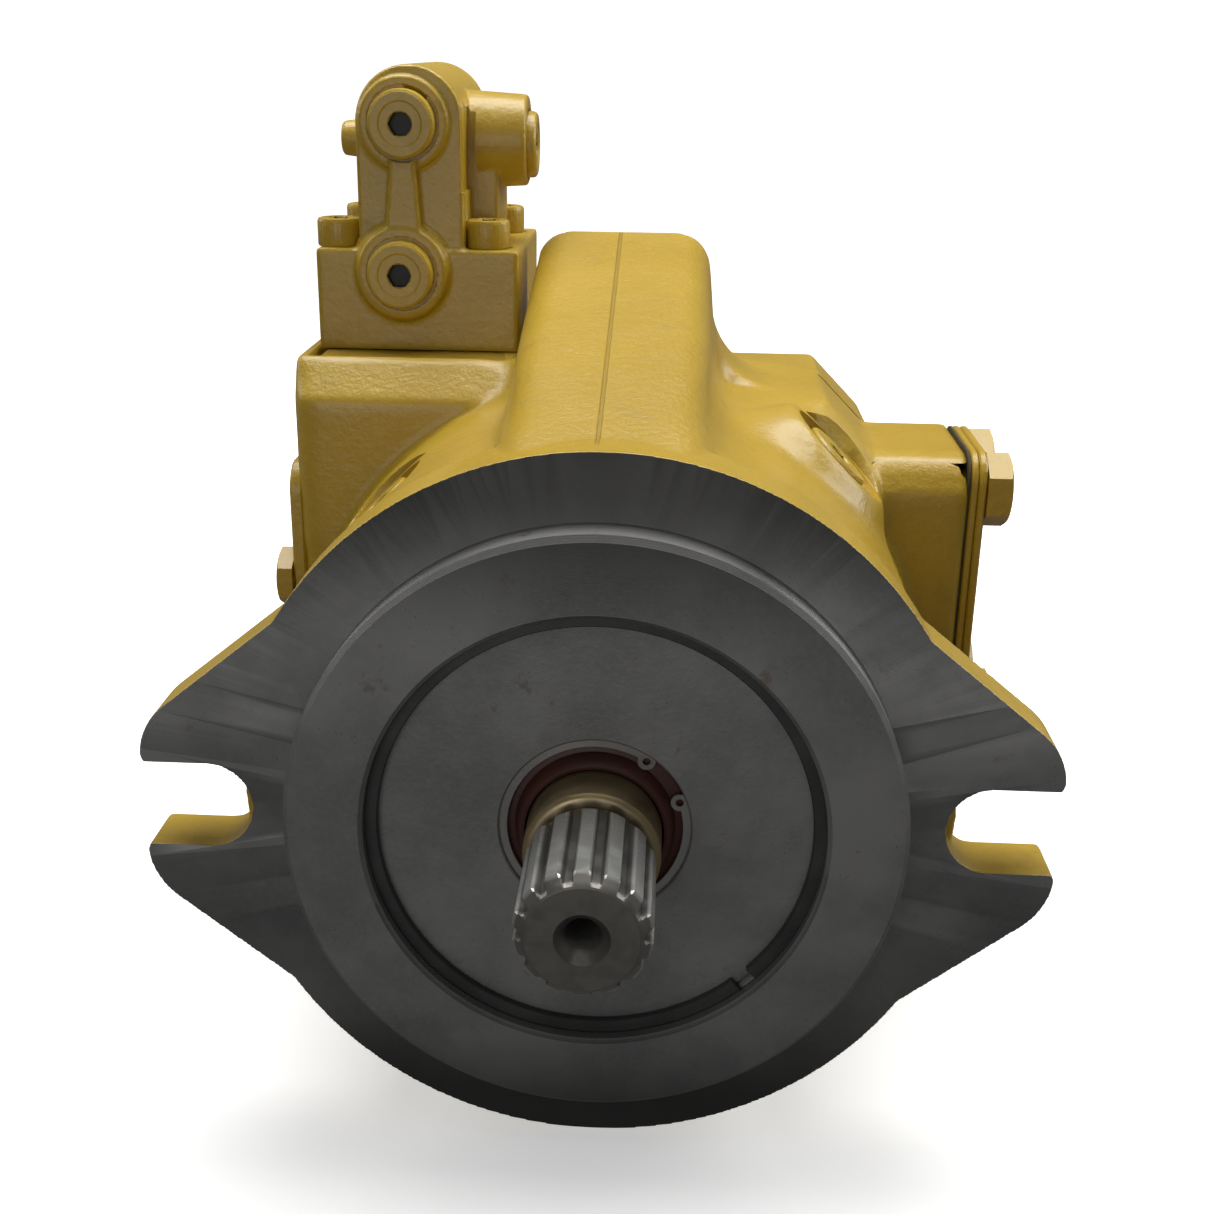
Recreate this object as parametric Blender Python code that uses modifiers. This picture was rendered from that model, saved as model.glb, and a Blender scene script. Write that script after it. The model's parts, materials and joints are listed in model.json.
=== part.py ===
"""Axial piston pump with a tilting swashplate, built as an assembly of its separate pieces.

Frame: +Z up, the shaft lies along Y and its splined end points to -Y. The origin is the centre of
the mounting pilot, on the face of the mounting flange. Sizes below are in millimetres, and the
shape helpers turn them into metres.
"""

import math

import bmesh
import bpy
from mathutils import Matrix, Vector

MM = 0.001
GAP = 0.3  # clearance left between pieces that touch

# --- driving dimensions -----------------------------------------------------------------------
PISTONS = 9
BORE_CIRCLE = 38.0  # radius of the circle that the cylinder bores lie on
TILT = math.radians(17.0)  # swashplate angle at full stroke
PIVOT_Y = 74.0  # the swashplate tilts about the X line through this point of the shaft axis
# The ball centres run on a circle that the tilt turns into an oval. A slightly larger circle
# shares the difference out, so every piston stays within BALL_DRIFT of its bore.
BALL_CIRCLE = BORE_CIRCLE * 2 / (1 + math.cos(TILT))
BALL_DRIFT = BALL_CIRCLE - BORE_CIRCLE
BORE_RADIUS = 11.0
PISTON_RADIUS = BORE_RADIUS - BALL_DRIFT - GAP

PILOT_RADIUS = 76.2
PILOT_LENGTH = 12.7
FLANGE_RADIUS = 92.6
FLANGE_THICK = 18.0
SLOT_CENTRE = 98.2
SLOT_HALF = 11.7
EAR_CORNER = (96.1, 12.0)  # centre of an ear's rounded corner
EAR_RADIUS = 18.1
EAR_SLOPE = math.radians(51.5)  # direction that an ear's straight edge faces
CARRIER_BORE = 56.6
BARREL_RADIUS = (90.0, 91.4)  # at the flange and at the block
BLOCK_FRONT = 130.0
JOINT_Y = 150.0  # face between the housing and the end cap
CAP_BACK = 190.0
CAVITY_RADIUS = 60.0
CAVITY_FRONT = 34.0

SHAFT_RADIUS = 17.0
SPLINE_TEETH = 14
SPLINE_OUTER = 15.6
SPLINE_ROOT = 13.7
SHAFT_END = -60.3

RUN_FACE = -12.0  # running face of the swashplate, measured from the pivot along its normal
JOURNAL_RADIUS = 40.0
ARM_HEIGHT = 86.0  # where the stroking piston and the bias spring act on the arm
SPRING_HEIGHT = 76.0

PRESSURE_PORT = (101.0, 121.5, 26.5)  # x of its face, and its centre
PRESSURE_PITCH = (31.8, 66.7)
PRESSURE_WAY_X = 72.0  # oil way back to the end cover
SUCTION_PORT = (-91.8, 122.0, -7.0)
SUCTION_PITCH = (35.7, 69.9)
SUCTION_WAY_X = -76.0

VALVE_X = (-89.3, -30.5)
VALVE_Y = (120.0, 185.0)
PAD_TOP = 94.0
VALVE_TOP = 122.8
VALVE_SCREWS = ((-84.0, 129.0), (-40.0, 129.0), (-84.0, 175.0), (-40.0, 175.0))
SPOOL_PLACE = (-63.0, 157.8)  # x and z of the spool and of the plug in front of it
LOWER_PLUG = (-64.0, 116.6)

FINE, ROUND, COARSE, SMALL = 48, 28, 16, 12  # sides of large, middle, small and tiny circles

# --- finishes -------------------------------------------------------------------------------
FINISHES = {
    "ochre_paint": ((0.52, 0.36, 0.05), 0.32, 0.0),
    "machined_iron": ((0.07, 0.065, 0.06), 0.45, 0.8),
    "bright_steel": ((0.55, 0.53, 0.50), 0.28, 1.0),
    "dark_steel": ((0.12, 0.12, 0.12), 0.4, 1.0),
    "bronze": ((0.45, 0.28, 0.12), 0.35, 1.0),
    "brown_rubber": ((0.13, 0.045, 0.03), 0.55, 0.0),
    "gasket_fibre": ((0.05, 0.05, 0.045), 0.8, 0.0),
}


def finish(name):
    """The material of that name, made the first time it is asked for."""
    material = bpy.data.materials.get(name)
    if material is None:
        colour, roughness, metallic = FINISHES[name]
        material = bpy.data.materials.new(name)
        material.use_nodes = True
        shader = material.node_tree.nodes["Principled BSDF"]
        shader.inputs["Base Color"].default_value = (*colour, 1.0)
        shader.inputs["Roughness"].default_value = roughness
        shader.inputs["Metallic"].default_value = metallic
    return material


# --- scene and collections --------------------------------------------------------------------
for old in list(bpy.data.objects):
    bpy.data.objects.remove(old, do_unlink=True)

parts = bpy.data.collections.new("axial_piston_pump")
helpers = bpy.data.collections.new("cutters")
helpers.hide_render = True
bpy.context.scene.collection.children.link(parts)
bpy.context.scene.collection.children.link(helpers)


# --- shape helpers ----------------------------------------------------------------------------
def add_object(name, mesh, collection=helpers):
    thing = bpy.data.objects.new(name, mesh)
    collection.objects.link(thing)
    if collection is helpers:
        thing.hide_render = True
        thing.display_type = "WIRE"
    return thing


def mesh_from(name, form):
    mesh = bpy.data.meshes.new(name)
    form.to_mesh(mesh)
    form.free()
    return mesh


def block(name, x, y, z, bevel=0.0, along="", segments=1):
    """A box between two corners. bevel rounds the edges that run along the named axis."""
    form = bmesh.new()
    middle = Vector(((x[0] + x[1]) / 2, (y[0] + y[1]) / 2, (z[0] + z[1]) / 2)) * MM
    size = Vector((x[1] - x[0], y[1] - y[0], z[1] - z[0])) * MM
    bmesh.ops.create_cube(form, matrix=Matrix.Translation(middle) @ Matrix.Diagonal((*size, 1)))
    if bevel:
        axes = ["XYZ".index(letter) for letter in along]
        edges = [
            edge
            for edge in form.edges
            if max(range(3), key=lambda i: abs((edge.verts[0].co - edge.verts[1].co)[i])) in axes
        ]
        bmesh.ops.bevel(
            form, geom=edges, offset=bevel * MM, segments=segments, profile=0.5, affect="EDGES"
        )
    return add_object(name, mesh_from(name, form))


def rod(name, start, end, radius, sides=ROUND, end_radius=None):
    """A cylinder or cone between two points."""
    start, end = Vector(start) * MM, Vector(end) * MM
    turn = (end - start).to_track_quat("Z", "Y").to_matrix().to_4x4()
    form = bmesh.new()
    bmesh.ops.create_cone(
        form,
        cap_ends=True,
        segments=sides,
        radius1=radius * MM,
        radius2=(radius if end_radius is None else end_radius) * MM,
        depth=(end - start).length,
        matrix=Matrix.Translation((start + end) / 2) @ turn,
    )
    return add_object(name, mesh_from(name, form))


def turned(name, profile, sides=ROUND, at=(0, 0, 0)):
    """A (radius, y) outline turned about the Y line through a point."""
    doubled_area = sum(
        a[0] * b[1] - b[0] * a[1] for a, b in zip(profile, profile[1:] + profile[:1])
    )
    if doubled_area > 0:
        profile = profile[::-1]
    on_axis = [i for i, (radius, _) in enumerate(profile) if radius == 0]
    if on_axis:
        # An outline that reaches the axis stays open there: start it at the axis.
        first = next(i for i in on_axis if profile[i - 1][0] == 0)
        profile = profile[first:] + profile[:first]
    count = len(profile)
    edges = [(i, (i + 1) % count) for i in range(count - (1 if on_axis else 0))]
    mesh = bpy.data.meshes.new(name)
    mesh.from_pydata([(radius * MM, y * MM, 0) for radius, y in profile], edges, [])
    thing = add_object(name, mesh)
    thing.location = Vector(at) * MM
    screw = thing.modifiers.new("turn", "SCREW")
    screw.axis = "Y"
    screw.steps = screw.render_steps = sides
    screw.use_merge_vertices = True
    screw.merge_threshold = 0.00001
    screw.use_smooth_shade = True
    return thing


def outline_solid(name, points, y0, y1):
    """A flat (x, z) outline, given anticlockwise, thickened from y0 to y1."""
    curve = bpy.data.curves.new(name, "CURVE")
    curve.dimensions = "2D"
    curve.fill_mode = "BOTH"
    curve.extrude = (y1 - y0) / 2 * MM
    spline = curve.splines.new("POLY")
    spline.points.add(len(points) - 1)
    for point, (x, z) in zip(spline.points, points):
        point.co = (x * MM, z * MM, 0, 1)
    spline.use_cyclic_u = True
    thing = bpy.data.objects.new(name, curve)
    thing.matrix_world = Matrix.Translation((0, (y0 + y1) / 2 * MM, 0)) @ Matrix.Rotation(
        math.pi / 2, 4, "X"
    )
    return meshed(thing)


def meshed(curve_object):
    """A curve object made a mesh, with its caps welded to its sides."""
    helpers.objects.link(curve_object)
    bpy.context.view_layer.update()
    graph = bpy.context.evaluated_depsgraph_get()
    mesh = bpy.data.meshes.new_from_object(curve_object.evaluated_get(graph))
    form = bmesh.new()
    form.from_mesh(mesh)
    bmesh.ops.remove_doubles(form, verts=form.verts, dist=0.000001)
    form.transform(curve_object.matrix_world)
    bmesh.ops.recalc_face_normals(form, faces=form.faces)
    form.to_mesh(mesh)
    form.free()
    name = curve_object.name
    bpy.data.objects.remove(curve_object)
    return add_object(name, mesh)


def arc(radius, start, end, steps, centre=(0.0, 0.0)):
    """Points on an arc in the XZ plane, with angles in degrees from +X towards +Z."""
    return [
        (
            centre[0] + radius * math.cos(math.radians(start + (end - start) * i / steps)),
            centre[1] + radius * math.sin(math.radians(start + (end - start) * i / steps)),
        )
        for i in range(steps + 1)
    ]


def kidney(name, radius, half_width, reach, y0, y1, middle=0.0):
    """A curved slot with round ends, reach degrees to each side of its middle angle."""
    end_high = math.radians(middle + reach)
    end_low = math.radians(middle - reach)
    high = (radius * math.cos(end_high), radius * math.sin(end_high))
    low = (radius * math.cos(end_low), radius * math.sin(end_low))
    points = arc(radius + half_width, middle - reach, middle + reach, 7)
    points += arc(half_width, middle + reach, middle + reach + 180, 4, high)[1:-1]
    points += arc(radius - half_width, middle + reach, middle - reach, 7)
    points += arc(half_width, middle - reach + 180, middle - reach + 360, 4, low)[1:-1]
    return outline_solid(name, points, y0, y1)


def boolean(thing, operation, others):
    """Joins or cuts closed shapes. The manifold solver keeps the result closed on dense circles."""
    for number, other in enumerate(others):
        change = thing.modifiers.new(f"{operation.lower()}_{number}", "BOOLEAN")
        change.operation = operation
        change.object = other
        change.solver = "MANIFOLD"


def piece(thing, name, material, adds=(), cuts=(), at=None, tilt=0.0):
    """Makes a shape a named part. at and tilt place a piece that was shaped about its own joint."""
    helpers.objects.unlink(thing)
    parts.objects.link(thing)
    thing.hide_render = False
    thing.display_type = "TEXTURED"
    thing.name = name
    if at is not None:
        thing.location = Vector(at) * MM
        thing.rotation_euler = (tilt, 0, 0)
        for other in (*adds, *cuts):
            other.parent = thing
    boolean(thing, "UNION", adds)
    boolean(thing, "DIFFERENCE", cuts)
    thing.data.materials.append(finish(material))
    thing.data.shade_smooth()
    thing.data.set_sharp_from_angle(angle=math.radians(35))
    return thing


def copy_of(thing, name, at, tilt=0.0):
    """Another part with the same mesh and modifiers."""
    twin = thing.copy()
    twin.name = name
    parts.objects.link(twin)
    twin.location = Vector(at) * MM
    twin.rotation_euler = (tilt, 0, 0)
    return twin


def ring(inner, outer, y0, y1):
    """The outline of a plain ring."""
    return [(inner, y0), (inner, y1), (outer, y1), (outer, y0)]


def polar(radius, degrees, y=0.0):
    return (radius * math.cos(math.radians(degrees)), y, radius * math.sin(math.radians(degrees)))


# --- housing ------------------------------------------------------------------------------------
def flange_outline():
    """A round disc with two ears. Each ear has straight edges, rounded corners and a U slot."""
    slope = math.degrees(EAR_SLOPE)
    reach = EAR_CORNER[0] * math.cos(EAR_SLOPE) + EAR_CORNER[1] * math.sin(EAR_SLOPE) + EAR_RADIUS
    kink = slope - math.degrees(math.acos(reach / FLANGE_RADIUS))
    tip = EAR_CORNER[0] + math.sqrt(EAR_RADIUS**2 - (EAR_CORNER[1] - SLOT_HALF) ** 2)
    upper = [(tip, SLOT_HALF)] + arc(EAR_RADIUS, 4, slope, 5, EAR_CORNER)
    right_top = upper + [polar(FLANGE_RADIUS, kink)[::2]]
    top = arc(FLANGE_RADIUS, kink, 180 - kink, 20)[1:-1]
    left_top = [(-x, z) for x, z in reversed(right_top)]
    slot_end = SLOT_CENTRE - 0.2
    left_slot = arc(SLOT_HALF, 90, -90, 10, (-slot_end, 0))
    lower = [(x, -z) for x, z in reversed(right_top + top + left_top)]
    right_slot = arc(SLOT_HALF, 270, 90, 10, (slot_end, 0))
    return right_top + top + left_top + left_slot + lower + right_slot


def tapped(name, port, pitch, depth, radius, inward):
    """Four blind holes round a side port."""
    face, y, z = port
    return [
        rod(
            f"{name}_{i}",
            (face - inward, y + side * pitch[0] / 2, z + rise * pitch[1] / 2),
            (face + inward * depth, y + side * pitch[0] / 2, z + rise * pitch[1] / 2),
            radius,
            10,
        )
        for i, (side, rise) in enumerate(((-1, 1), (1, 1), (-1, -1), (1, -1)))
    ]


def make_housing():
    pilot = turned(
        "pilot",
        [
            (0, -PILOT_LENGTH),
            (PILOT_RADIUS - 1.2, -PILOT_LENGTH),
            (PILOT_RADIUS, -PILOT_LENGTH + 1.2),
            (PILOT_RADIUS, 8.0),
            (0, 8.0),
        ],
        FINE,
    )
    hump = outline_solid(
        "hump",
        arc(10, 0, 90, 4, (15.5, 115)) + arc(10, 90, 180, 4, (-16.5, 115)) + [(-26.5, 50), (28, 50)],
        6.0,
        JOINT_Y,
    )
    ramp = block("ramp", (-60, 60), (-90, 160), (0, 60))
    ramp.rotation_euler = (math.atan((125.0 - 92.6) / (JOINT_Y - FLANGE_THICK)), 0, 0)
    ramp.location = (0, 16.0 * MM, 92.2 * MM)
    boolean(hump, "DIFFERENCE", [ramp])
    barrel = rod("barrel", (0, 10, 0), (0, JOINT_Y, 0), BARREL_RADIUS[0], FINE, BARREL_RADIUS[1])
    pad_slope = block("pad_slope", (-120, 0), (-30, 0), (0, 60))
    pad_slope.rotation_euler = (math.radians(45), 0, 0)
    pad_slope.location = (-10 * MM, 93.0 * MM, (PAD_TOP - 10) * MM)
    valve_pad = block("valve_pad", (-93, -25), (93, 189), (65, PAD_TOP), 6, "YZ")
    boolean(valve_pad, "DIFFERENCE", [pad_slope])
    adds = [
        outline_solid("flange", flange_outline(), 0, FLANGE_THICK),
        pilot,
        hump,
        block("corner_block", (-75, 78), (BLOCK_FRONT, JOINT_Y), (-78, 84.5), 17, "Y", 2),
        valve_pad,
        block("left_block", (SUCTION_PORT[0], -40), (97, 147), (-58, 70), 5, "Y"),
        block("right_block", (40, PRESSURE_PORT[0]), (95, 146), (-24, 69.8), 8, "XY", 2),
    ]
    arm_slot = block("arm_slot", (-13, 13), (50, 99), (40, 96))
    saddles = [
        block(f"saddle_{side}", tuple(sorted((side * 31, side * 55))), (30, 41), (-33, 33))
        for side in (-1, 1)
    ]
    cavity = rod("cavity", (0, CAVITY_FRONT, 0), (0, 160, 0), CAVITY_RADIUS, 40)
    boolean(cavity, "DIFFERENCE", saddles)
    px, py, pz = PRESSURE_PORT
    sx, sy, sz = SUCTION_PORT
    cuts = [
        cavity,
        rod("carrier_bore", (0, -20, 0), (0, 7.0, 0), CARRIER_BORE, FINE),
        rod("ring_groove", (0, -9.0, 0), (0, -6.2, 0), CARRIER_BORE + 1.9, FINE),
        rod("bearing_bore", (0, 5, 0), (0, 27, 0), 36.5, ROUND),
        rod("shaft_hole", (0, 26, 0), (0, 40, 0), 30, ROUND),
        rod("cradle_seat", (-55.5, PIVOT_Y, 0), (55.5, PIVOT_Y, 0), JOURNAL_RADIUS + 2.9, 40),
        arm_slot,
        rod("stroke_bore", (0, 66, ARM_HEIGHT), (0, 143, ARM_HEIGHT), 13, ROUND),
        rod("spring_bore", (0, 20, SPRING_HEIGHT), (0, 60, SPRING_HEIGHT), 9.6, COARSE),
        rod("pressure_bore", (px + 5, py, pz), (66, py, pz), 15, ROUND),
        rod("pressure_way", (PRESSURE_WAY_X, py, pz), (PRESSURE_WAY_X, 155, pz), 10, COARSE),
        rod("suction_bore", (sx - 5, sy, sz), (-67, sy, sz), 19, ROUND),
        rod("suction_way", (SUCTION_WAY_X, sy, sz), (SUCTION_WAY_X, 155, sz), 12, COARSE),
        *tapped("pressure_tap", PRESSURE_PORT, PRESSURE_PITCH, 14, 6.5, -1),
        *tapped("suction_tap", SUCTION_PORT, SUCTION_PITCH, 14, 6.5, 1),
        *[
            rod(f"valve_tap_{i}", (x, y, 120), (x, y, 78), 4.5, 10)
            for i, (x, y) in enumerate(VALVE_SCREWS)
        ],
    ]
    piece(barrel, "pump_housing", "ochre_paint", adds, cuts)


# --- end cover ----------------------------------------------------------------------------------
def make_end_cover():
    """The rear cap. It holds the rear bearing and carries the oil between ports and valve plate."""
    _, _, pz = PRESSURE_PORT
    _, _, sz = SUCTION_PORT
    front = JOINT_Y + GAP
    cover = turned(
        "cover_disc",
        [(0, front), (93, front), (93, CAP_BACK - 4), (89, CAP_BACK), (42, CAP_BACK)]
        + [(40, CAP_BACK + 10), (0, CAP_BACK + 10)],
        48,
    )
    adds = [block("cover_corners", (-75, 78), (front, CAP_BACK - 2), (-78, 84), 17, "Y", 2)]
    cuts = [
        block("shelf_notch", (-100, -24.6), (140, 230), (57.6, 110)),
        block("top_flat", (-100, 100), (140, 230), (83.6, 110)),
        rod("rear_bore", (0, 140, 0), (0, 182, 0), 20.4, ROUND),
        kidney("pressure_kidney", BORE_CIRCLE, 5, 56, 145, 160),
        kidney("suction_kidney", BORE_CIRCLE, 6, 56, 145, 160, 180),
        rod("pressure_gallery", (PRESSURE_WAY_X, 140, pz), (PRESSURE_WAY_X, 168, pz), 10, COARSE),
        rod("pressure_cross", (38, 160, 14), (PRESSURE_WAY_X, 160, pz), 6.5, 12),
        rod("suction_gallery", (SUCTION_WAY_X, 140, sz), (SUCTION_WAY_X, 170, sz), 12, COARSE),
        rod("suction_cross", (-38, 160, 0), (SUCTION_WAY_X, 160, sz), 9, 12),
    ]
    piece(cover, "end_cover", "ochre_paint", adds, cuts)


# --- front seal group ---------------------------------------------------------------------------
def open_ring(name, inner, outer, y0, y1, gap_angle, gap_half, sides):
    """A flat ring with a gap, as a snap ring has, and the angles in degrees."""
    start, end = gap_angle + gap_half, gap_angle + 360 - gap_half
    points = arc(outer, start, end, sides) + arc(inner, end, start, sides)
    return outline_solid(name, points, y0, y1)


def make_seal_group():
    outline = [(CARRIER_BORE - GAP, 6.7), (CARRIER_BORE - GAP, -6.1), (23.6, -6.1), (23.6, -5.4)]
    outline += [(24.9, -5.4), (24.9, -3.5), (23.6, -3.5), (23.6, 4.4), (20.0, 4.4), (20.0, 6.7)]
    piece(turned("carrier_body", outline, 40), "seal_carrier", "machined_iron")
    snap = open_ring("snap_ring_body", 53.5, 58.1, -8.6, -6.4, -46, 4.5, 36)
    piece(snap, "carrier_snap_ring", "dark_steel")
    seal = turned(
        "seal_body",
        [(23.3, -3.2), (23.3, 4.1), (17.0, 4.1), (17.0, -8.4), (18.2, -8.8), (19.4, -3.4)],
    )
    piece(seal, "shaft_seal", "brown_rubber")
    clip = open_ring("clip_body", 21.2, 24.5, -5.1, -3.8, 38, 17, 18)
    eyes = [
        rod(f"clip_eye_{i}", polar(22.0, angle, -5.1), polar(22.0, angle, -3.8), 2.2, 10)
        for i, angle in enumerate((20, 56))
    ]
    holes = [
        rod(f"clip_hole_{i}", polar(22.0, angle, -7), polar(22.0, angle, -2), 1.0, 6)
        for i, angle in enumerate((20, 56))
    ]
    piece(clip, "seal_circlip", "bright_steel", eyes, holes)


# --- shaft and bearings -------------------------------------------------------------------------
def spline_outline():
    """A round of teeth, each with a flat tip, sloping flanks and a flat root."""
    pitch = 360 / SPLINE_TEETH
    radii = (SPLINE_ROOT, SPLINE_OUTER, SPLINE_OUTER, SPLINE_ROOT)
    points = []
    for tooth in range(SPLINE_TEETH):
        for offset, radius in zip((-0.28, -0.17, 0.17, 0.28), radii):
            points.append(polar(radius, (tooth + 0.5 + offset) * pitch)[::2])
    return points


def make_shaft():
    teeth = outline_solid("spline_teeth", spline_outline(), SHAFT_END, -20.0)
    envelope = turned(
        "spline_envelope",
        [(0, SHAFT_END - 1), (SPLINE_OUTER - 2.4, SHAFT_END - 1), (SPLINE_OUTER + 2, -56.9)]
        + [(SPLINE_OUTER + 2, -27), (SPLINE_ROOT - 0.2, -22.2), (SPLINE_ROOT - 0.2, -21)]
        + [(0, -21)],
        ROUND,
    )
    boolean(teeth, "INTERSECT", [envelope])
    shaft = turned(
        "shaft_body",
        [(0, -30), (SPLINE_ROOT - 0.4, -30), (SPLINE_ROOT - 0.4, -21.6), (SHAFT_RADIUS - 1.2, -21.6)]
        + [(SHAFT_RADIUS - 0.4, -20.8), (SHAFT_RADIUS - 0.4, 5), (SHAFT_RADIUS, 5.6)]
        + [(SHAFT_RADIUS, 138), (12, 139), (12, 179), (11, 180), (0, 180)],
        ROUND,
    )
    cuts = [
        rod("centre_sink", (0, SHAFT_END - 1, 0), (0, SHAFT_END + 1.8, 0), 7.0, COARSE, 4.3),
        rod("centre_thread", (0, SHAFT_END - 5, 0), (0, SHAFT_END + 24, 0), 4.3, COARSE),
    ]
    piece(shaft, "drive_shaft", "bright_steel", [teeth], cuts)


def make_bearings():
    cup = [(36.0, 7.2), (36.0, 26.7), (28.0, 26.7), (31.5, 7.2)]
    piece(turned("cup_body", cup), "front_bearing_cup", "bright_steel")
    cone = [(SHAFT_RADIUS + GAP, 7.1), (SHAFT_RADIUS + GAP, 30), (25.5, 30), (25.5, 27.4)]
    cone += [(27.3, 26.4), (30.8, 8.4), (28.0, 7.1)]
    piece(turned("cone_body", cone), "front_bearing_cone", "bright_steel")
    rear = [(12 + GAP, 158), (12 + GAP, 177), (20, 177), (20, 158)]
    piece(turned("rear_bearing_body", rear), "rear_bearing", "bright_steel")


# --- rotating group -----------------------------------------------------------------------------
def ball_place(number):
    """Centre of a piston's ball at rest, in world coordinates."""
    across, _, up = polar(BALL_CIRCLE, 90 + number * 360 / PISTONS)
    return across, PIVOT_Y + up * math.sin(TILT), up * math.cos(TILT)


def make_cylinder_block():
    barrel = turned(
        "block_body",
        [(SHAFT_RADIUS + GAP, 111), (24.5, 111), (24.5, 94), (54, 94), (54, 141.3)]
        + [(SHAFT_RADIUS + GAP, 141.3)],
        36,
    )
    cuts = []
    for number in range(PISTONS):
        x, _, z = polar(BORE_CIRCLE, 90 + number * 360 / PISTONS)
        cuts.append(rod(f"bore_{number}", (x, 90, z), (x, 136.6, z), BORE_RADIUS, COARSE))
        cuts.append(rod(f"port_{number}", (x, 130, z), (x, 145, z), 5, 6))
    piece(barrel, "cylinder_block", "machined_iron", cuts=cuts)
    piece(
        turned("valve_plate_body", ring(18, 53, JOINT_Y - 8.4, JOINT_Y - GAP), 36),
        "valve_plate",
        "bronze",
        cuts=[
            kidney("plate_pressure", BORE_CIRCLE, 5, 56, 135, 155),
            kidney("plate_suction", BORE_CIRCLE, 6, 56, 135, 155, 180),
        ],
    )


def make_pistons():
    """Each slipper turns about the running face's normal; each piston swings on its ball."""
    ball = [(0, -6.5), (4.6, -4.6), (6.5, 0), (4.2, 5.0), (4.2, 9.5), (PISTON_RADIUS, 12)]
    body = [(PISTON_RADIUS, 50), (5, 50), (5, 24), (0, 24)]
    socket = [(0, -7.3), (5.1, -5.1), (7.2, 0), (6.2, 3.5), (8.8, 3.5), (8.8, -8.2)]
    socket += [(11.5, -8.2), (11.5, -11.7), (0, -11.7)]
    first_piston = None
    first_slipper = None
    for number in range(PISTONS):
        place = ball_place(number)
        if first_piston is None:
            first_piston = piece(turned("piston_body", ball + body, SMALL), "piston_1", "bright_steel",
                                 at=place)
            first_slipper = piece(turned("slipper_body", socket, SMALL), "slipper_1", "bronze",
                                  at=place, tilt=-TILT)
        else:
            copy_of(first_piston, f"piston_{number + 1}", place)
            copy_of(first_slipper, f"slipper_{number + 1}", place, -TILT)


def make_retainer():
    pivot = (0, PIVOT_Y, 0)
    plate = turned("retainer_body", ring(24.35, 51, -7.9, -3.9), 36)
    holes = []
    for number in range(PISTONS):
        x, _, z = polar(BALL_CIRCLE, 90 + number * 360 / PISTONS)
        holes.append(rod(f"retainer_hole_{number}", (x, -12, z), (x, 2, z), 9.2, SMALL))
    piece(plate, "retainer_plate", "dark_steel", cuts=holes, at=pivot, tilt=-TILT)
    outline = [
        (24 * math.cos(math.radians(angle)), PIVOT_Y + 24 * math.sin(math.radians(angle)))
        for angle in (-36, -19, -3, 13, 30)
    ]
    hub = SHAFT_RADIUS + GAP
    outline = [(hub, outline[0][1])] + outline + [(hub, outline[-1][1])]
    piece(turned("retainer_ball_body", outline), "retainer_ball", "bright_steel")


def coil(name, radius, wire, start, end, turns, at=(0, 0), steps=10):
    """A round wire wound about a Y line through at."""
    curve = bpy.data.curves.new(name, "CURVE")
    curve.dimensions = "3D"
    curve.bevel_depth = wire * MM
    curve.bevel_resolution = 0
    curve.use_fill_caps = True
    spline = curve.splines.new("POLY")
    count = turns * steps
    spline.points.add(count)
    for i, point in enumerate(spline.points):
        angle = 2 * math.pi * i / steps
        x, z = radius * math.cos(angle), radius * math.sin(angle)
        y = start + wire + (end - start - 2 * wire) * i / count
        point.co = ((at[0] + x) * MM, y * MM, (at[1] + z) * MM, 1)
    return meshed(bpy.data.objects.new(name, curve))


# --- swashplate group ---------------------------------------------------------------------------
def make_swashplate():
    back = RUN_FACE - 8.0
    disc = turned("swash_body", [(24, RUN_FACE), (34, back), (52, back), (52, RUN_FACE)], 36)
    journals = []
    for side in (-1, 1):
        journal = rod(f"journal_{side}", (side * 34, 0, 0), (side * 50, 0, 0), JOURNAL_RADIUS, 40)
        keep = block(f"journal_keep_{side}", (-60, 60), (-50, RUN_FACE - 0.6), (-60, 60))
        boolean(journal, "INTERSECT", [keep])
        keep.parent = journal
        journals.append(journal)
    arm = block("swash_arm", (-8, 8), (back - 2.5, RUN_FACE - 0.5), (44, 92), 2.5, "X", 2)
    piece(disc, "swashplate", "machined_iron", [*journals, arm], at=(0, PIVOT_Y, 0), tilt=-TILT)
    for side, name in ((-1, "left"), (1, "right")):
        shell = arc(42.5, -130, -50, 10) + arc(40.3, -50, -130, 10)
        points = [(y, z) for z, y in shell]
        bearing = outline_solid(f"cradle_{name}", points, 34, 50)
        turn = Matrix.Translation((0, PIVOT_Y * MM, 0)) @ Matrix.Rotation(math.pi / 2, 4, "Z")
        bearing.data.transform(turn)
        if side < 0:
            bearing.data.transform(Matrix.Diagonal((-1, 1, 1, 1)))
            bearing.data.flip_normals()
        piece(bearing, f"cradle_bearing_{name}", "bronze")


def make_stroke_parts():
    piston = [(0, 88.2), (4.5, 88.9), (7.0, 91.2), (8.0, 95), (8.0, 98), (12.6, 98), (12.6, 140)]
    piston += [(6, 140), (6, 112), (0, 112)]
    piece(turned("stroke_body", piston, COARSE, (0, 0, ARM_HEIGHT)), "stroking_piston",
          "bright_steel")
    seat = [(0, 72.8), (3.2, 72.4), (5.0, 70.5), (5.0, 69), (9.1, 69), (9.1, 65.5), (4.2, 65.5)]
    seat += [(4.2, 50), (0, 50)]
    piece(turned("seat_body", seat, COARSE, (0, 0, SPRING_HEIGHT)), "bias_spring_seat",
          "bright_steel")
    piece(coil("bias_coil", 6.6, 1.1, 20.3, 65.2, 6, (0, SPRING_HEIGHT)), "bias_spring",
          "dark_steel")
    piece(coil("block_coil", 20.9, 1.5, 86.4, 110.7, 3, steps=16), "block_spring", "dark_steel")


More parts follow.
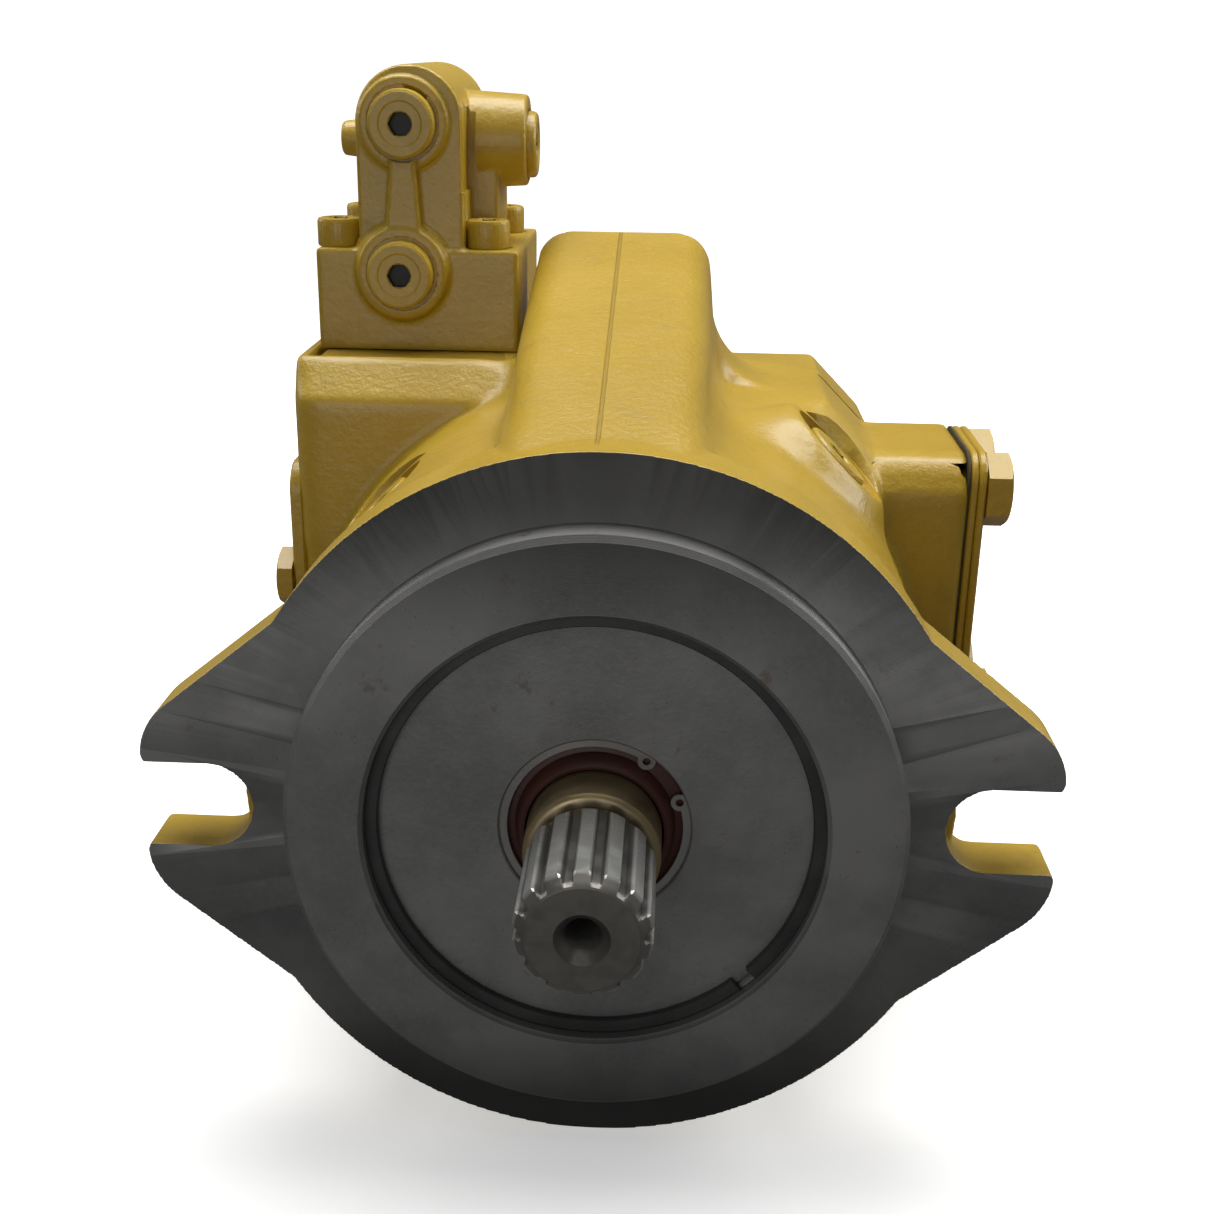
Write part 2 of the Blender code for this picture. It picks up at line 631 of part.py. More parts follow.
# --- control valve ------------------------------------------------------------------------------
def make_control_valve():
    x0, x1 = VALVE_X
    y0, y1 = VALVE_Y
    spool_x, spool_z = SPOOL_PLACE
    low_x, low_z = LOWER_PLUG
    base = block("valve_base", (x0, x1), (y0, y1), (PAD_TOP + GAP, VALVE_TOP), 1.6, "XYZ")
    dome = [(-76.3, 118), (-46.7, 118)] + arc(14.8, 0, 180, 10, (-61.5, 158.1))
    adds = [
        outline_solid("valve_dome", dome, y0, y1 - 0.4),
        rod("lower_boss", (low_x, 117, low_z), (low_x, 130, low_z), 13.4, ROUND),
        rod("side_boss", (-58, 150, 152.2), (-30.2, 150, 152.2), 12.4, ROUND),
        block("boss_web", (-50, -36), (138, 166), (119, 151), 2, "XYZ"),
        rod("left_knob", (-86, 152, 152), (-70, 152, 152), 5.4, 12),
    ]
    cuts = [
        rod("spool_bore", (spool_x, 112, spool_z), (spool_x, 180, spool_z), 7.2, COARSE),
        rod("lower_thread", (low_x, 110, low_z), (low_x, 132, low_z), 7.3, COARSE),
        rod("side_thread", (-44, 150, 151), (-20, 150, 151), 7.3, COARSE),
        block("boss_slit", (-46.9, -44.3), (110, 139), (139, 162)),
        *[
            rod(f"valve_hole_{i}", (x, y, 90), (x, y, 130), 4.5, 10)
            for i, (x, y) in enumerate(VALVE_SCREWS)
        ],
    ]
    piece(base, "control_valve_body", "ochre_paint", adds, cuts)
    spool = [(0, 133), (6.7, 133), (6.7, 143), (4, 144), (4, 150), (6.7, 151), (6.7, 159)]
    spool += [(4, 160), (4, 166), (6.7, 167), (6.7, 174), (0, 174)]
    piece(turned("spool_body", spool, COARSE, (spool_x, 0, spool_z)), "valve_spool", "bright_steel")
    stem = [(0, 10), (7.0, 10), (7.0, -1), (0, -1)]
    for name, at, thick, across in (
        ("upper_plug", (spool_x, y0, spool_z), 5.5, False),
        ("lower_plug", (low_x, 117.0, low_z), 5.5, False),
        ("side_plug", (-30.2, 150, 151), 3.2, True),
    ):
        plug = [(0, -0.4), (9.5, -0.4), (9.5, 0.8 - thick), (8.9, -thick), (0, -thick)]
        head = turned(f"{name}_head", plug, 20)
        socket = rod(f"{name}_hex", (0, -9, 0), (0, -1.6, 0), 3.5, 6)
        thing = piece(head, name, "ochre_paint", [turned(f"{name}_stem", stem, SMALL)], [socket],
                      at=at)
        if across:
            thing.rotation_euler = (0, 0, math.pi / 2)
    for number, (x, y) in enumerate(VALVE_SCREWS):
        head_base = VALVE_TOP + GAP
        head = rod(f"screw_head_{number}", (x, y, head_base), (x, y, head_base + 8), 6.5, 20)
        shank = rod(f"screw_shank_{number}", (x, y, 80), (x, y, head_base + 1), 4.0, 10)
        hexagon = rod(f"screw_hex_{number}", (x, y, head_base + 4), (x, y, 140), 3.5, 6)
        piece(head, f"valve_screw_{number + 1}", "ochre_paint", [shank], [hexagon])


# --- port plates --------------------------------------------------------------------------------
def port_plate(name, x0, x1, port, pitch, material, low, high, hole, bevel):
    """A plate over a side port, with a hole for each bolt and, if asked for, one for the oil."""
    _, y, z = port
    plate = block(f"{name}_plate", (min(x0, x1), max(x0, x1)), (y - 24.5, y + 24.5), (low, high),
                  bevel, "X", 2)
    cuts = [
        rod(f"{name}_bolt_{i}", (x0 - 9, y + side * pitch[0] / 2, z + rise * pitch[1] / 2),
            (x1 + 9, y + side * pitch[0] / 2, z + rise * pitch[1] / 2), 6.5, SMALL)
        for i, (side, rise) in enumerate(((-1, 1), (1, 1), (-1, -1), (1, -1)))
    ]
    if hole:
        cuts.append(rod(f"{name}_hole", (x0 - 9, y, z), (x1 + 9, y, z), hole, ROUND))
    piece(plate, name, material, cuts=cuts)


def port_bolts(name, face, outward, port, pitch, reach, thick):
    """Hex head bolts. reach is the radius of a head's corners."""
    _, y, z = port
    for number, (side, rise) in enumerate(((-1, 1), (1, 1), (-1, -1), (1, -1))):
        at_y, at_z = y + side * pitch[0] / 2, z + rise * pitch[1] / 2
        head = rod(f"{name}_head_{number}", (face + outward * GAP, at_y, at_z),
                   (face + outward * (GAP + thick), at_y, at_z), reach, 6)
        shank = rod(f"{name}_shank_{number}", (face + outward * 2, at_y, at_z),
                    (port[0] - outward * 12.5, at_y, at_z), 6.0, SMALL)
        piece(head, f"{name}_{number + 1}", "ochre_paint", [shank])


def make_ports():
    x = PRESSURE_PORT[0]
    low, high = -18.4, 71.4
    port_plate("pressure_gasket", x + 0.2, x + 1.0, PRESSURE_PORT, PRESSURE_PITCH,
               "gasket_fibre", low, high, 15, 9)
    port_plate("pressure_adapter", x + 1.2, x + 3.3, PRESSURE_PORT, PRESSURE_PITCH,
               "ochre_paint", low, high, 15, 9)
    port_plate("pressure_cover", x + 3.5, x + 5.8, PRESSURE_PORT, PRESSURE_PITCH,
               "ochre_paint", low, high, 0, 9)
    port_bolts("pressure_bolt", x + 5.8, 1, PRESSURE_PORT, PRESSURE_PITCH, 11.0, 7.2)
    x = SUCTION_PORT[0]
    port_plate("suction_cover", x - GAP, x - 4.3, SUCTION_PORT, SUCTION_PITCH,
               "ochre_paint", -58, 64, 0, 9)
    port_bolts("suction_bolt", x - 4.3, -1, SUCTION_PORT, SUCTION_PITCH, 9.2, 4.9)


make_housing()
make_end_cover()
make_seal_group()
make_shaft()
make_bearings()
make_cylinder_block()
make_pistons()
make_retainer()
make_swashplate()
make_stroke_parts()
make_control_valve()
make_ports()
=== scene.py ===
# %% [markdown]
# # Axial piston pump: the looks
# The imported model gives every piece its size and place. This file gives the pump its castings,
# its turned and hobbed steel, its paint and its light. Lengths are written in millimetres, as on
# a drawing, and turned into metres in one place, so that a number here can be checked with a
# caliper.

import json
import math

import bmesh
import bpy
import numpy as np
from mathutils import Matrix, Vector

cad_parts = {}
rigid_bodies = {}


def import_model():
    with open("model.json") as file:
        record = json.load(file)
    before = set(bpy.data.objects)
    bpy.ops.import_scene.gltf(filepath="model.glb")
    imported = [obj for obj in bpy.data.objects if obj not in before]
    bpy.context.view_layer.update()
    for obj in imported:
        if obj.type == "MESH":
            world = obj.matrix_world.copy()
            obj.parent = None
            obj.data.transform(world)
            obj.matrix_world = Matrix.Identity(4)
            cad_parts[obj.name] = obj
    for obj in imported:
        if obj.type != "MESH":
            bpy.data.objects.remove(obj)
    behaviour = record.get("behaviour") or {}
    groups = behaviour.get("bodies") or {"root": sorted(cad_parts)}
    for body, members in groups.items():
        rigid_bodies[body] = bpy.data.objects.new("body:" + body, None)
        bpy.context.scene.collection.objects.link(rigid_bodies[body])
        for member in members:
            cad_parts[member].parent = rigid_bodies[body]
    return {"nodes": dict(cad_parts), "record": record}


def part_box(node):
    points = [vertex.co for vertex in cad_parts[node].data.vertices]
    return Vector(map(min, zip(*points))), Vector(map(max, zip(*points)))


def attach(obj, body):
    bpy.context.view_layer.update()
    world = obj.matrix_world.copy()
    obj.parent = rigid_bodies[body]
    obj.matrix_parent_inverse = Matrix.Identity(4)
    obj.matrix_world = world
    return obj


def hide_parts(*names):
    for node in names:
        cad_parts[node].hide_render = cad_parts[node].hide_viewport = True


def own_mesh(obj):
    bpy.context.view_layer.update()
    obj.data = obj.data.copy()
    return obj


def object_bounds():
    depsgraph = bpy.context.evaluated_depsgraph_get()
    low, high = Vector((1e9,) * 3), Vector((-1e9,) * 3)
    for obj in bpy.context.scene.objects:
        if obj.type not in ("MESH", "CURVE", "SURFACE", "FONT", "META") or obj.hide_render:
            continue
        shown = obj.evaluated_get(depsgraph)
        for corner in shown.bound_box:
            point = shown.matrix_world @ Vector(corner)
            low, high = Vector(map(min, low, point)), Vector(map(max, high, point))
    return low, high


for leftover in list(bpy.data.objects):
    bpy.data.objects.remove(leftover)
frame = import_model()
cad_low, cad_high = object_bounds()
MM = 0.001
print("CAD box in mm:", [round(v / MM, 1) for v in (*cad_low, *cad_high)])


# %% [markdown]
# ## Shapes
# Everything on the pump is either cast, turned on a lathe or sawn from bar. A few small makers
# cover that: a prism from an outline, a box, a rod, and a lathe that spins an outline about a
# line. Each adds a closed skin to a bmesh, so that several can overlap in one casting and be
# melted together.

# %% Makers that add closed skins to a bmesh
def skin(form, rings, capped=True):
    """Joins rings of points with faces and, if capped, closes the two ends."""
    made = [[form.verts.new(Vector(p) * MM) for p in ring] for ring in rings]
    count = len(made[0])
    faces = []
    for low, high in zip(made, made[1:]):
        for i in range(count):
            j = (i + 1) % count
            faces.append(form.faces.new((low[i], low[j], high[j], high[i])))
    if capped:
        faces += [form.faces.new(made[0]), form.faces.new(made[-1])]
    bmesh.ops.recalc_face_normals(form, faces=faces)
    return [vert for ring in made for vert in ring]


def add_prism(form, outline, y0, y1):
    """An (x, z) outline carried from y0 to y1."""
    return skin(form, [[(x, y, z) for x, z in outline] for y in (y0, y1)])


def add_box(form, x, y, z):
    """A box between pairs of values along X, Y and Z."""
    outline = [(x[0], z[0]), (x[1], z[0]), (x[1], z[1]), (x[0], z[1])]
    return add_prism(form, outline, *y)


def add_lathe(form, outline, sides=96, centre=(0, 0), along="Y"):
    """A (radius, distance) outline turned about a line, and capped unless it is a closed loop."""
    rings = []
    for radius, far in outline:
        ring = []
        for i in range(sides):
            angle = 2 * math.pi * i / sides
            a = centre[0] + radius * math.cos(angle)
            b = centre[1] + radius * math.sin(angle)
            ring.append({"X": (far, a, b), "Y": (a, far, b), "Z": (a, b, far)}[along])
        rings.append(ring)
    if outline[0] == outline[-1]:
        made = [[form.verts.new(Vector(p) * MM) for p in ring] for ring in rings[:-1]]
        faces = []
        for k, low in enumerate(made):
            high = made[(k + 1) % len(made)]
            for i in range(sides):
                j = (i + 1) % sides
                faces.append(form.faces.new((low[i], low[j], high[j], high[i])))
        bmesh.ops.recalc_face_normals(form, faces=faces)
        return [vert for ring in made for vert in ring]
    return skin(form, rings)


def add_rod(form, start, end, radius, end_radius=None, sides=64):
    """A cylinder or cone between two points."""
    start, end = Vector(start), Vector(end)
    turn = (end - start).to_track_quat("Z", "Y").to_matrix()
    rings = []
    for place, size in ((start, radius), (end, radius if end_radius is None else end_radius)):
        spokes = [2 * math.pi * i / sides for i in range(sides)]
        ring = [Vector((size * math.cos(a), size * math.sin(a), 0)) for a in spokes]
        rings.append([place + turn @ spoke for spoke in ring])
    return skin(form, rings)


def arc(radius, start, end, steps, centre=(0.0, 0.0)):
    """Points on an arc, with angles in degrees."""
    angles = [math.radians(start + (end - start) * i / steps) for i in range(steps + 1)]
    return [(centre[0] + radius * math.cos(a), centre[1] + radius * math.sin(a)) for a in angles]


print("makers: skin, add_prism, add_box, add_lathe, add_rod, arc")

# %% [markdown]
# ## From skin to steel
# A drawn skin becomes an object, and tools are then taken to it as in a workshop. A Boolean with
# the manifold solver is exact and quick on closed skins. Edges steeper than a few degrees are
# marked sharp afterwards, so that a milled face stays flat in the light next to a rounded one.

# %% Objects and cutters
CAST_EDGE, CUT_EDGE = 35, 24


def object_from(form, name):
    """The bmesh as an object of the scene, smooth shaded with its sharp corners kept."""
    mesh = bpy.data.meshes.new(name)
    form.to_mesh(mesh)
    form.free()
    thing = bpy.data.objects.new(name, mesh)
    bpy.context.scene.collection.objects.link(thing)
    mesh.shade_smooth()
    mesh.set_sharp_from_angle(angle=math.radians(CAST_EDGE))
    return thing


def settle(thing):
    """Makes the object's modifiers part of its mesh."""
    bpy.context.view_layer.update()
    graph = bpy.context.evaluated_depsgraph_get()
    mesh = bpy.data.meshes.new_from_object(thing.evaluated_get(graph))
    thing.modifiers.clear()
    thing.data = mesh
    return thing


def cut(thing, tools, operation="DIFFERENCE"):
    """Machines the object with each tool and throws the tools away."""
    for tool in tools:
        change = thing.modifiers.new("cut", "BOOLEAN")
        change.operation = operation
        change.solver = "MANIFOLD"
        change.object = tool
    settle(thing)
    thing.data.set_sharp_from_angle(angle=math.radians(CUT_EDGE))
    for tool in tools:
        bpy.data.objects.remove(tool)
    return thing


def tool_from(maker, *given, **named):
    """One cutter made with one of the makers above."""
    form = bmesh.new()
    maker(form, *given, **named)
    return object_from(form, "tool")


# %% [markdown]
# ## Castings
# A sand casting has no sharp inside corners: iron flows into every joint as a fillet, and only
# the faces that are machined afterwards are crisp. So a casting is made in the same order here.
# Its blocks and rods are melted together with a voxel remesh, smoothed until the fillets are as
# wide as a moulder would leave them, grown by a machining allowance, and then cut back to size on
# the faces that a mill or lathe would touch.

# %% Melt overlapping skins into one casting
ALLOWANCE = 0.35
WIDE_PASSES = 260


def soften(thing, name, share, passes):
    """Smooths the points of the object, each by its share from 0 to 1."""
    group = thing.vertex_groups.new(name=name)
    levels = np.round(share * 20).astype(int)
    for level in range(1, 21):
        members = np.flatnonzero(levels == level)
        if len(members):
            group.add(members.tolist(), level / 20, "REPLACE")
    smooth = thing.modifiers.new(name, "SMOOTH")
    smooth.factor = 0.5
    smooth.iterations = passes
    smooth.vertex_group = name


def casting(form, name, voxel, passes, keep_sharp=None, deep=None):
    """One rounded skin from overlapping ones. keep_sharp gives a point's share of the smoothing,
    and deep its share of a second, far longer smoothing that makes wide fillets."""
    thing = object_from(form, name)
    melt = thing.modifiers.new("melt", "REMESH")
    melt.mode = "VOXEL"
    melt.voxel_size = voxel * MM
    settle(thing)
    mesh = thing.data
    places = np.empty(len(mesh.vertices) * 3, np.float32)
    mesh.vertices.foreach_get("co", places)
    places = places.reshape(-1, 3) / MM
    if deep is not None:
        soften(thing, "wide_fillets", deep(places), WIDE_PASSES)
    share = np.ones(len(places)) if keep_sharp is None else keep_sharp(places)
    soften(thing, "fillets", share, passes)
    grow = thing.modifiers.new("allowance", "DISPLACE")
    grow.mid_level = 0
    grow.strength = ALLOWANCE * MM
    settle(thing)
    thing.vertex_groups.clear()
    print(f"{name}: {len(thing.data.polygons)} faces")
    return thing


def welded_copy(node):
    """The CAD node with its split edges closed again, which a Boolean needs."""
    form = bmesh.new()
    form.from_mesh(frame["nodes"][node].data)
    bmesh.ops.remove_doubles(form, verts=form.verts, dist=0.001 * MM)
    return object_from(form, f"{node}_welded")


def inside_of(node, boxes, rods):
    """What the CAD node leaves empty within these boxes and rods, as tools for its casting."""
    tools = []
    solid = welded_copy(node)
    for maker, given in [(add_box, box) for box in boxes] + [(add_rod, rod) for rod in rods]:
        tool = tool_from(maker, *given)
        change = tool.modifiers.new("leave", "BOOLEAN")
        change.operation = "DIFFERENCE"
        change.solver = "MANIFOLD"
        change.object = solid
        tools.append(settle(tool))
    bpy.data.objects.remove(solid)
    return tools


# %% [markdown]
# ## The housing
# The housing is one iron casting: a barrel that grows a little towards the back, the mounting
# flange with its two slotted ears, a hump over the servo piston, a shelf for the control valve,
# and a block on each side for the ports. The pilot and the flange face are turned, so they are
# cut last.

# %% Outline of the flange and the ports' places
PILOT_RADIUS, PILOT_LENGTH, FLANGE_RADIUS, FLANGE_THICK = 76.2, 12.7, 92.6, 18.0
JOINT_Y = 150.0
SLOT_CENTRE, SLOT_HALF = 98.0, 11.7
EAR_CORNER, EAR_RADIUS, EAR_SLOPE = (96.1, 12.0), 18.1, 51.5


def flange_outline():
    """A round disc with two ears that have straight edges, rounded corners and a U slot each."""
    slope = math.radians(EAR_SLOPE)
    reach = EAR_CORNER[0] * math.cos(slope) + EAR_CORNER[1] * math.sin(slope) + EAR_RADIUS
    kink = EAR_SLOPE - math.degrees(math.acos(reach / FLANGE_RADIUS))
    ear = [(EAR_CORNER[0] + EAR_RADIUS, SLOT_HALF)] + arc(EAR_RADIUS, 4, EAR_SLOPE, 12, EAR_CORNER)
    right = ear + arc(FLANGE_RADIUS, kink, kink, 1)[:1]
    top = arc(FLANGE_RADIUS, kink, 180 - kink, 60)[1:-1]
    left = [(-x, z) for x, z in reversed(right)]
    upper = right + top + left
    left_slot = arc(SLOT_HALF, 90, -90, 20, (-SLOT_CENTRE, 0))
    right_slot = arc(SLOT_HALF, 270, 90, 20, (SLOT_CENTRE, 0))
    return upper + left_slot + [(x, -z) for x, z in reversed(upper)] + right_slot


def slanted(form, verts, hinge_y, hinge_z, rise):
    """Tips a skin's points up about an X line, as a pattern maker's draft."""
    for vert in verts:
        vert.co.z += rise * (vert.co.y - hinge_y * MM) if vert.co.z > hinge_z * MM else 0.0


DRAIN_PORTS = {"right": (1, 80.0, 97.0), "left": (-1, 60.0, 89.2)}  # side, y, and distance out
RIGHT_DRIFT = 9.0


def out_at(side, y, far):
    """The place so far out at 45 degrees. The right port's line passes nearer the top."""
    drift = RIGHT_DRIFT if side > 0 else 0.0
    return side * (far - drift) * math.sqrt(0.5), y, (far + drift) * math.sqrt(0.5)


print("flange outline:", len(flange_outline()), "points")

# %% [markdown]
# ## Blank of the housing
# The pads for the valve and the ports have an upright front edge that is rounded off by hand, so
# they are drawn from the side and carried inward in rings. The upper right of the barrel swells
# into the squared corner of the rear block, and that swelling is the same: rings that change
# shape.

# %% Blank of the housing
def add_cheek(form, outline, outer, inner, round_off):
    """A (y, z) outline carried inward from x = outer, with its front upright edge rounded off."""
    step = math.copysign(round_off, inner - outer)
    rings = []
    for far, back in ((0, 1.0), (0.12, 0.66), (0.3, 0.34), (0.55, 0.12), (1, 0.0)):
        rings.append([
            (outer + step * far, y + (round_off * back if y < 100 else 0), z) for y, z in outline
        ])
    rings.append([(inner, y, z) for y, z in outline])
    return skin(form, rings)


BLOCK_TOP, BLOCK_RIGHT, BLOCK_CORNER = 84.7, 78.0, 102.4  # from the shaft, the last at 45 degrees
SHOULDER_START, SHOULDER_LENGTH, BARREL = 34, 72, 90.2


def add_shoulder(form):
    """The barrel's upper right quarter swelling into the squared corner of the rear block."""
    rings = []
    for y in (SHOULDER_START, 46, 58, 70, 80, 90, 98, 106, JOINT_Y):
        share = min(1.0, (y - SHOULDER_START) / SHOULDER_LENGTH) ** 2
        ring = []
        for turn in np.radians(np.linspace(24, 76, 40)):
            top, right = BLOCK_TOP / math.sin(turn), BLOCK_RIGHT / math.cos(turn)
            corner = min(top, right, BLOCK_CORNER / math.cos(turn - math.pi / 4))
            out = BARREL + max(0.0, corner - BARREL) * share
            ring.append((out * math.cos(turn), y, out * math.sin(turn)))
        rings.append(ring + [(15, y, 50), (50, y, 20)])
    return skin(form, rings)


def housing_blank():
    """Barrel, flange, pilot, hump, rear block, pads and drain boss, not yet melted together."""
    form = bmesh.new()
    add_rod(form, (0, 8, 0), (0, JOINT_Y + 3, 0), 90.0, 91.4, 160)
    add_prism(form, flange_outline(), -0.6, FLANGE_THICK)
    add_rod(form, (0, -14, 0), (0, 12, 0), PILOT_RADIUS + 0.6, sides=160)
    hump = arc(10, 0, 90, 8, (15.8, 83.4)) + arc(10, 90, 180, 8, (-16.8, 83.4))
    hump += [(-28.5, 60), (30.5, 60)]
    verts = add_prism(form, hump, 6, JOINT_Y)
    slanted(form, verts, 16, 70, 0.2455)
    corner = [(-60, -78), (61, -78), (78, -61), (78, 65.5), (59, 84.7), (-60, 84.7)]
    add_prism(form, corner, 130, JOINT_Y + 3)
    flare = [(20, 80), (20, 107)] + arc(22, 180, 262, 8, (48.5, 107)) + [(50, 80)]
    add_prism(form, flare, 118, JOINT_Y)
    pad = [(93, 60), (93, 84), (103, 94.5), (189, 94.5), (189, 66)]
    add_cheek(form, pad, -93.2, -25, 7)
    add_cheek(form, [(93, 40), (93, 82), (148, 82), (148, 40)], -93, -40, 7)
    add_cheek(form, [(93.5, -58), (93.5, 70), (147, 70), (147, -58)], -92.2, -40, 6)
    edge = [(95, 59.8), (95.4, 61.2), (98.4, 66.4), (101.5, 69.2), (106, 70.2)]
    add_cheek(form, [(95, -24)] + edge + [(146, 70.2), (146, -24)], 101.5, 40, 2.5)
    add_shoulder(form)
    side, y, far = DRAIN_PORTS["right"]
    add_rod(form, out_at(side, y, 80), out_at(side, y, far + 0.8), 31, 19)
    return form


# %% [markdown]
# ## Melting the housing
# Two smoothings make the fillets: a short one everywhere but the flange, and a long one where the
# hump, the shelf and the blocks flow into the barrel. Each point's share of them is worked out
# from where it lies, because the remesh leaves no edges that could be picked.

# %% Shares of the smoothing
def cast_share(places):
    """The flange keeps its corners; behind it the casting is well rounded."""
    return np.clip((places[:, 1] - 16) / 6, 0.12, 1.0)


def wide_share(places):
    """Where the hump, the shelf and the blocks flow into the barrel."""
    x, y, z = places.T
    out = np.hypot(x, z)
    near = np.clip((103 - out) / 6, 0, 1) * np.clip((y - 22) / 14, 0, 1)
    foot = np.clip((40 - np.abs(x)) / 10, 0, 1) * np.clip((99 - z) / 8, 0, 1)
    low = np.clip((y - 22) / 10, 0, 1) * foot
    front = np.where(x < 0, 92, np.where(z > 71, 118, 93))
    ahead = np.clip((front - y) / 4, 0, 1)
    behind = np.clip((y - 150.5) / 2, 0, 1)
    face = np.clip((np.abs(x) - 96) / 1, 0, 1)
    return np.clip(np.maximum(near * ahead, low * (z > 60)) - behind - face, 0, 1)


housing = casting(housing_blank(), "housing_casting", 0.9, 24, cast_share, wide_share)

# %% [markdown]
# ## Machining the housing
# A lathe turns the flange face, the pilot with its groove, and the bore for the seal's carrier. A
# mill levels the valve's shelf, and a spot-facer sinks each drain port. The large hollows are
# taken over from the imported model, so that the mechanism inside has the room it was given there.

# %% Turn and mill the housing
BIG = 200
SPOT_FACE = ((0.0, 19.6), (2.4, 16.4), (12.0, 8.2))  # depth and radius of each step


def machined_housing(thing):
    """Cuts the casting to size on its machined faces."""
    front = [(PILOT_RADIUS, 0), (BIG, 0), (BIG, -30), (PILOT_RADIUS - 1.2, -30)]
    front += [(PILOT_RADIUS - 1.2, -PILOT_LENGTH), (PILOT_RADIUS, -PILOT_LENGTH + 1.2)]
    front += [(PILOT_RADIUS, -10.4), (PILOT_RADIUS - 0.6, -10.1), (PILOT_RADIUS - 0.6, -9.7)]
    front += [(PILOT_RADIUS, -9.4), (PILOT_RADIUS, 0)]
    bore = [(0, -30), (57.6, -30), (57.6, -PILOT_LENGTH), (56.6, -PILOT_LENGTH + 1), (56.6, -9.0)]
    bore += [(58.5, -9.0), (58.5, -6.2), (56.6, -6.2), (56.6, 7.0), (0, 7.0)]
    tools = [
        tool_from(add_lathe, front, 192),
        tool_from(add_rod, (0, -60, 0), (0, -PILOT_LENGTH, 0), 90, sides=96),
        tool_from(add_lathe, bore, 192),
        tool_from(add_box, (-BIG, -24.9), (190, 260), (-BIG, BIG)),
    ]
    for side, y, far in DRAIN_PORTS.values():
        for depth, radius in SPOT_FACE:
            start, end = out_at(side, y, far - depth), out_at(side, y, 140)
            tools.append(tool_from(add_rod, start, end, radius))
    boxes = [
        ((-17, 17), (60, 149), (60, 99.6)),
        ((60, 130), (98, 145), (-22, 68.5)),
        ((-130, -60), (99, 145), (-56, 68)),
        ((-90, -26), (104, 186), (62, 120)),
        ((-23, BIG), (JOINT_Y - 1, 180), (-BIG, BIG)),
        ((-BIG, -23), (JOINT_Y - 1, 180), (-BIG, 57)),
    ]
    rods = [((0, 6, 0), (0, JOINT_Y + 2, 0), 87.5)]
    return cut(thing, tools + inside_of("pump_housing", boxes, rods))


machined_housing(housing)
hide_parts("pump_housing")
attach(housing, "case")
print("housing after machining:", len(housing.data.polygons), "faces")

# %% [markdown]
# ## The control valve
# The valve that sets the pump's stroke is a second casting, bolted to the shelf. It has a flat
# base, an upright body with a round top for its spool, a boss round the lower plug, and a side
# boss. It is melted from finer voxels than the housing, because its fillets are smaller.

# %% Blank of the valve body
VALVE_X, VALVE_Y, PAD_TOP, VALVE_TOP = (-89.3, -30.5), (120.0, 185.0), 94.0, 122.8
SPOOL = (-63.0, 157.8)
LOWER_PLUG = (-64.0, 116.6)
SIDE_PLUG = (150.0, 151.0)


def valve_blank():
    """Base, domed body, bosses and rib of the valve, not yet melted together."""
    form = bmesh.new()
    add_box(form, VALVE_X, VALVE_Y, (PAD_TOP, VALVE_TOP))
    dome = [(-76.6, 112), (-46.4, 112)] + arc(15.1, 0, 180, 24, (-61.5, 158.1))
    add_prism(form, dome, VALVE_Y[0] + 1.5, VALVE_Y[1] - 0.6)
    high_x, high_z = SPOOL
    add_rod(form, (high_x, VALVE_Y[0] - 0.2, high_z), (high_x, 140, high_z), 12.6, 14)
    low_x, low_z = LOWER_PLUG
    add_rod(form, (low_x, 117, low_z), (low_x, 126, low_z), 12.6, 16.5)
    rib = [(low_x - 5, 120), (low_x + 6, 120), (low_x + 4, 152), (low_x - 2, 152)]
    add_prism(form, rib, 117.6, 130)
    side_y, side_z = SIDE_PLUG
    add_rod(form, (-60, side_y, side_z + 1.2), (-30.0, side_y, side_z + 1.2), 14.5, 12.6)
    add_box(form, (-52, -38), (139, 164), (118, 150))
    add_rod(form, (-86, 152, 152), (-70, 152, 152), 4.6, 6.5)
    return form


valve = casting(valve_blank(), "valve_casting", 0.55, 10)

# %% [markdown]
# ## Machining the valve body
# The base is milled flat, the three plugs get spot faces, and the cap screws get round seats. A
# saw slit beside the dome parts it from the side boss.

# %% Machine the valve body
SEAT_RADIUS, PLUG_SEAT = 7.2, 10.4
low_x, low_z = LOWER_PLUG
high_x, high_z = SPOOL
CAP_SCREWS = [(-84.0, 129.0), (-40.0, 129.0), (-84.0, 175.0), (-40.0, 175.0)]
valve_tools = [
    tool_from(add_box, (-130, 0), (100, 200), (60, PAD_TOP + 0.3)),
    tool_from(add_rod, (high_x, 100, high_z), (high_x, VALVE_Y[0] - 0.1, high_z), PLUG_SEAT),
    tool_from(add_rod, (low_x, 100, low_z), (low_x, 117, low_z), PLUG_SEAT),
    tool_from(add_rod, (-30.2, *SIDE_PLUG), (0, *SIDE_PLUG), PLUG_SEAT),
    tool_from(add_box, (-46.9, -44.3), (100, 138.8), (139, 162)),
]
for head_x in (-84, -40):
    for head_y in (129, 175):
        tool = tool_from(add_rod, (head_x, head_y, VALVE_TOP), (head_x, head_y, 170), SEAT_RADIUS)
        valve_tools.append(tool)
cut(valve, valve_tools)
spool_bore = ((high_x, 119, high_z), (high_x, 181, high_z), 8)
cut(valve, inside_of("control_valve_body", [], [spool_bore]))
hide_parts("control_valve_body")
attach(valve, "case")
print("valve after machining:", len(valve.data.polygons), "faces")

# %% [markdown]
# ## The end cover
# The rear cap is cast too. It is drawn as a round cap with a boss on a squared flange, melted and
# rounded. Then its joint face, its notch under the valve's shelf and its flat top are milled.

# %% End cover
COVER_FRONT, COVER_BACK = 150.3, 190.0


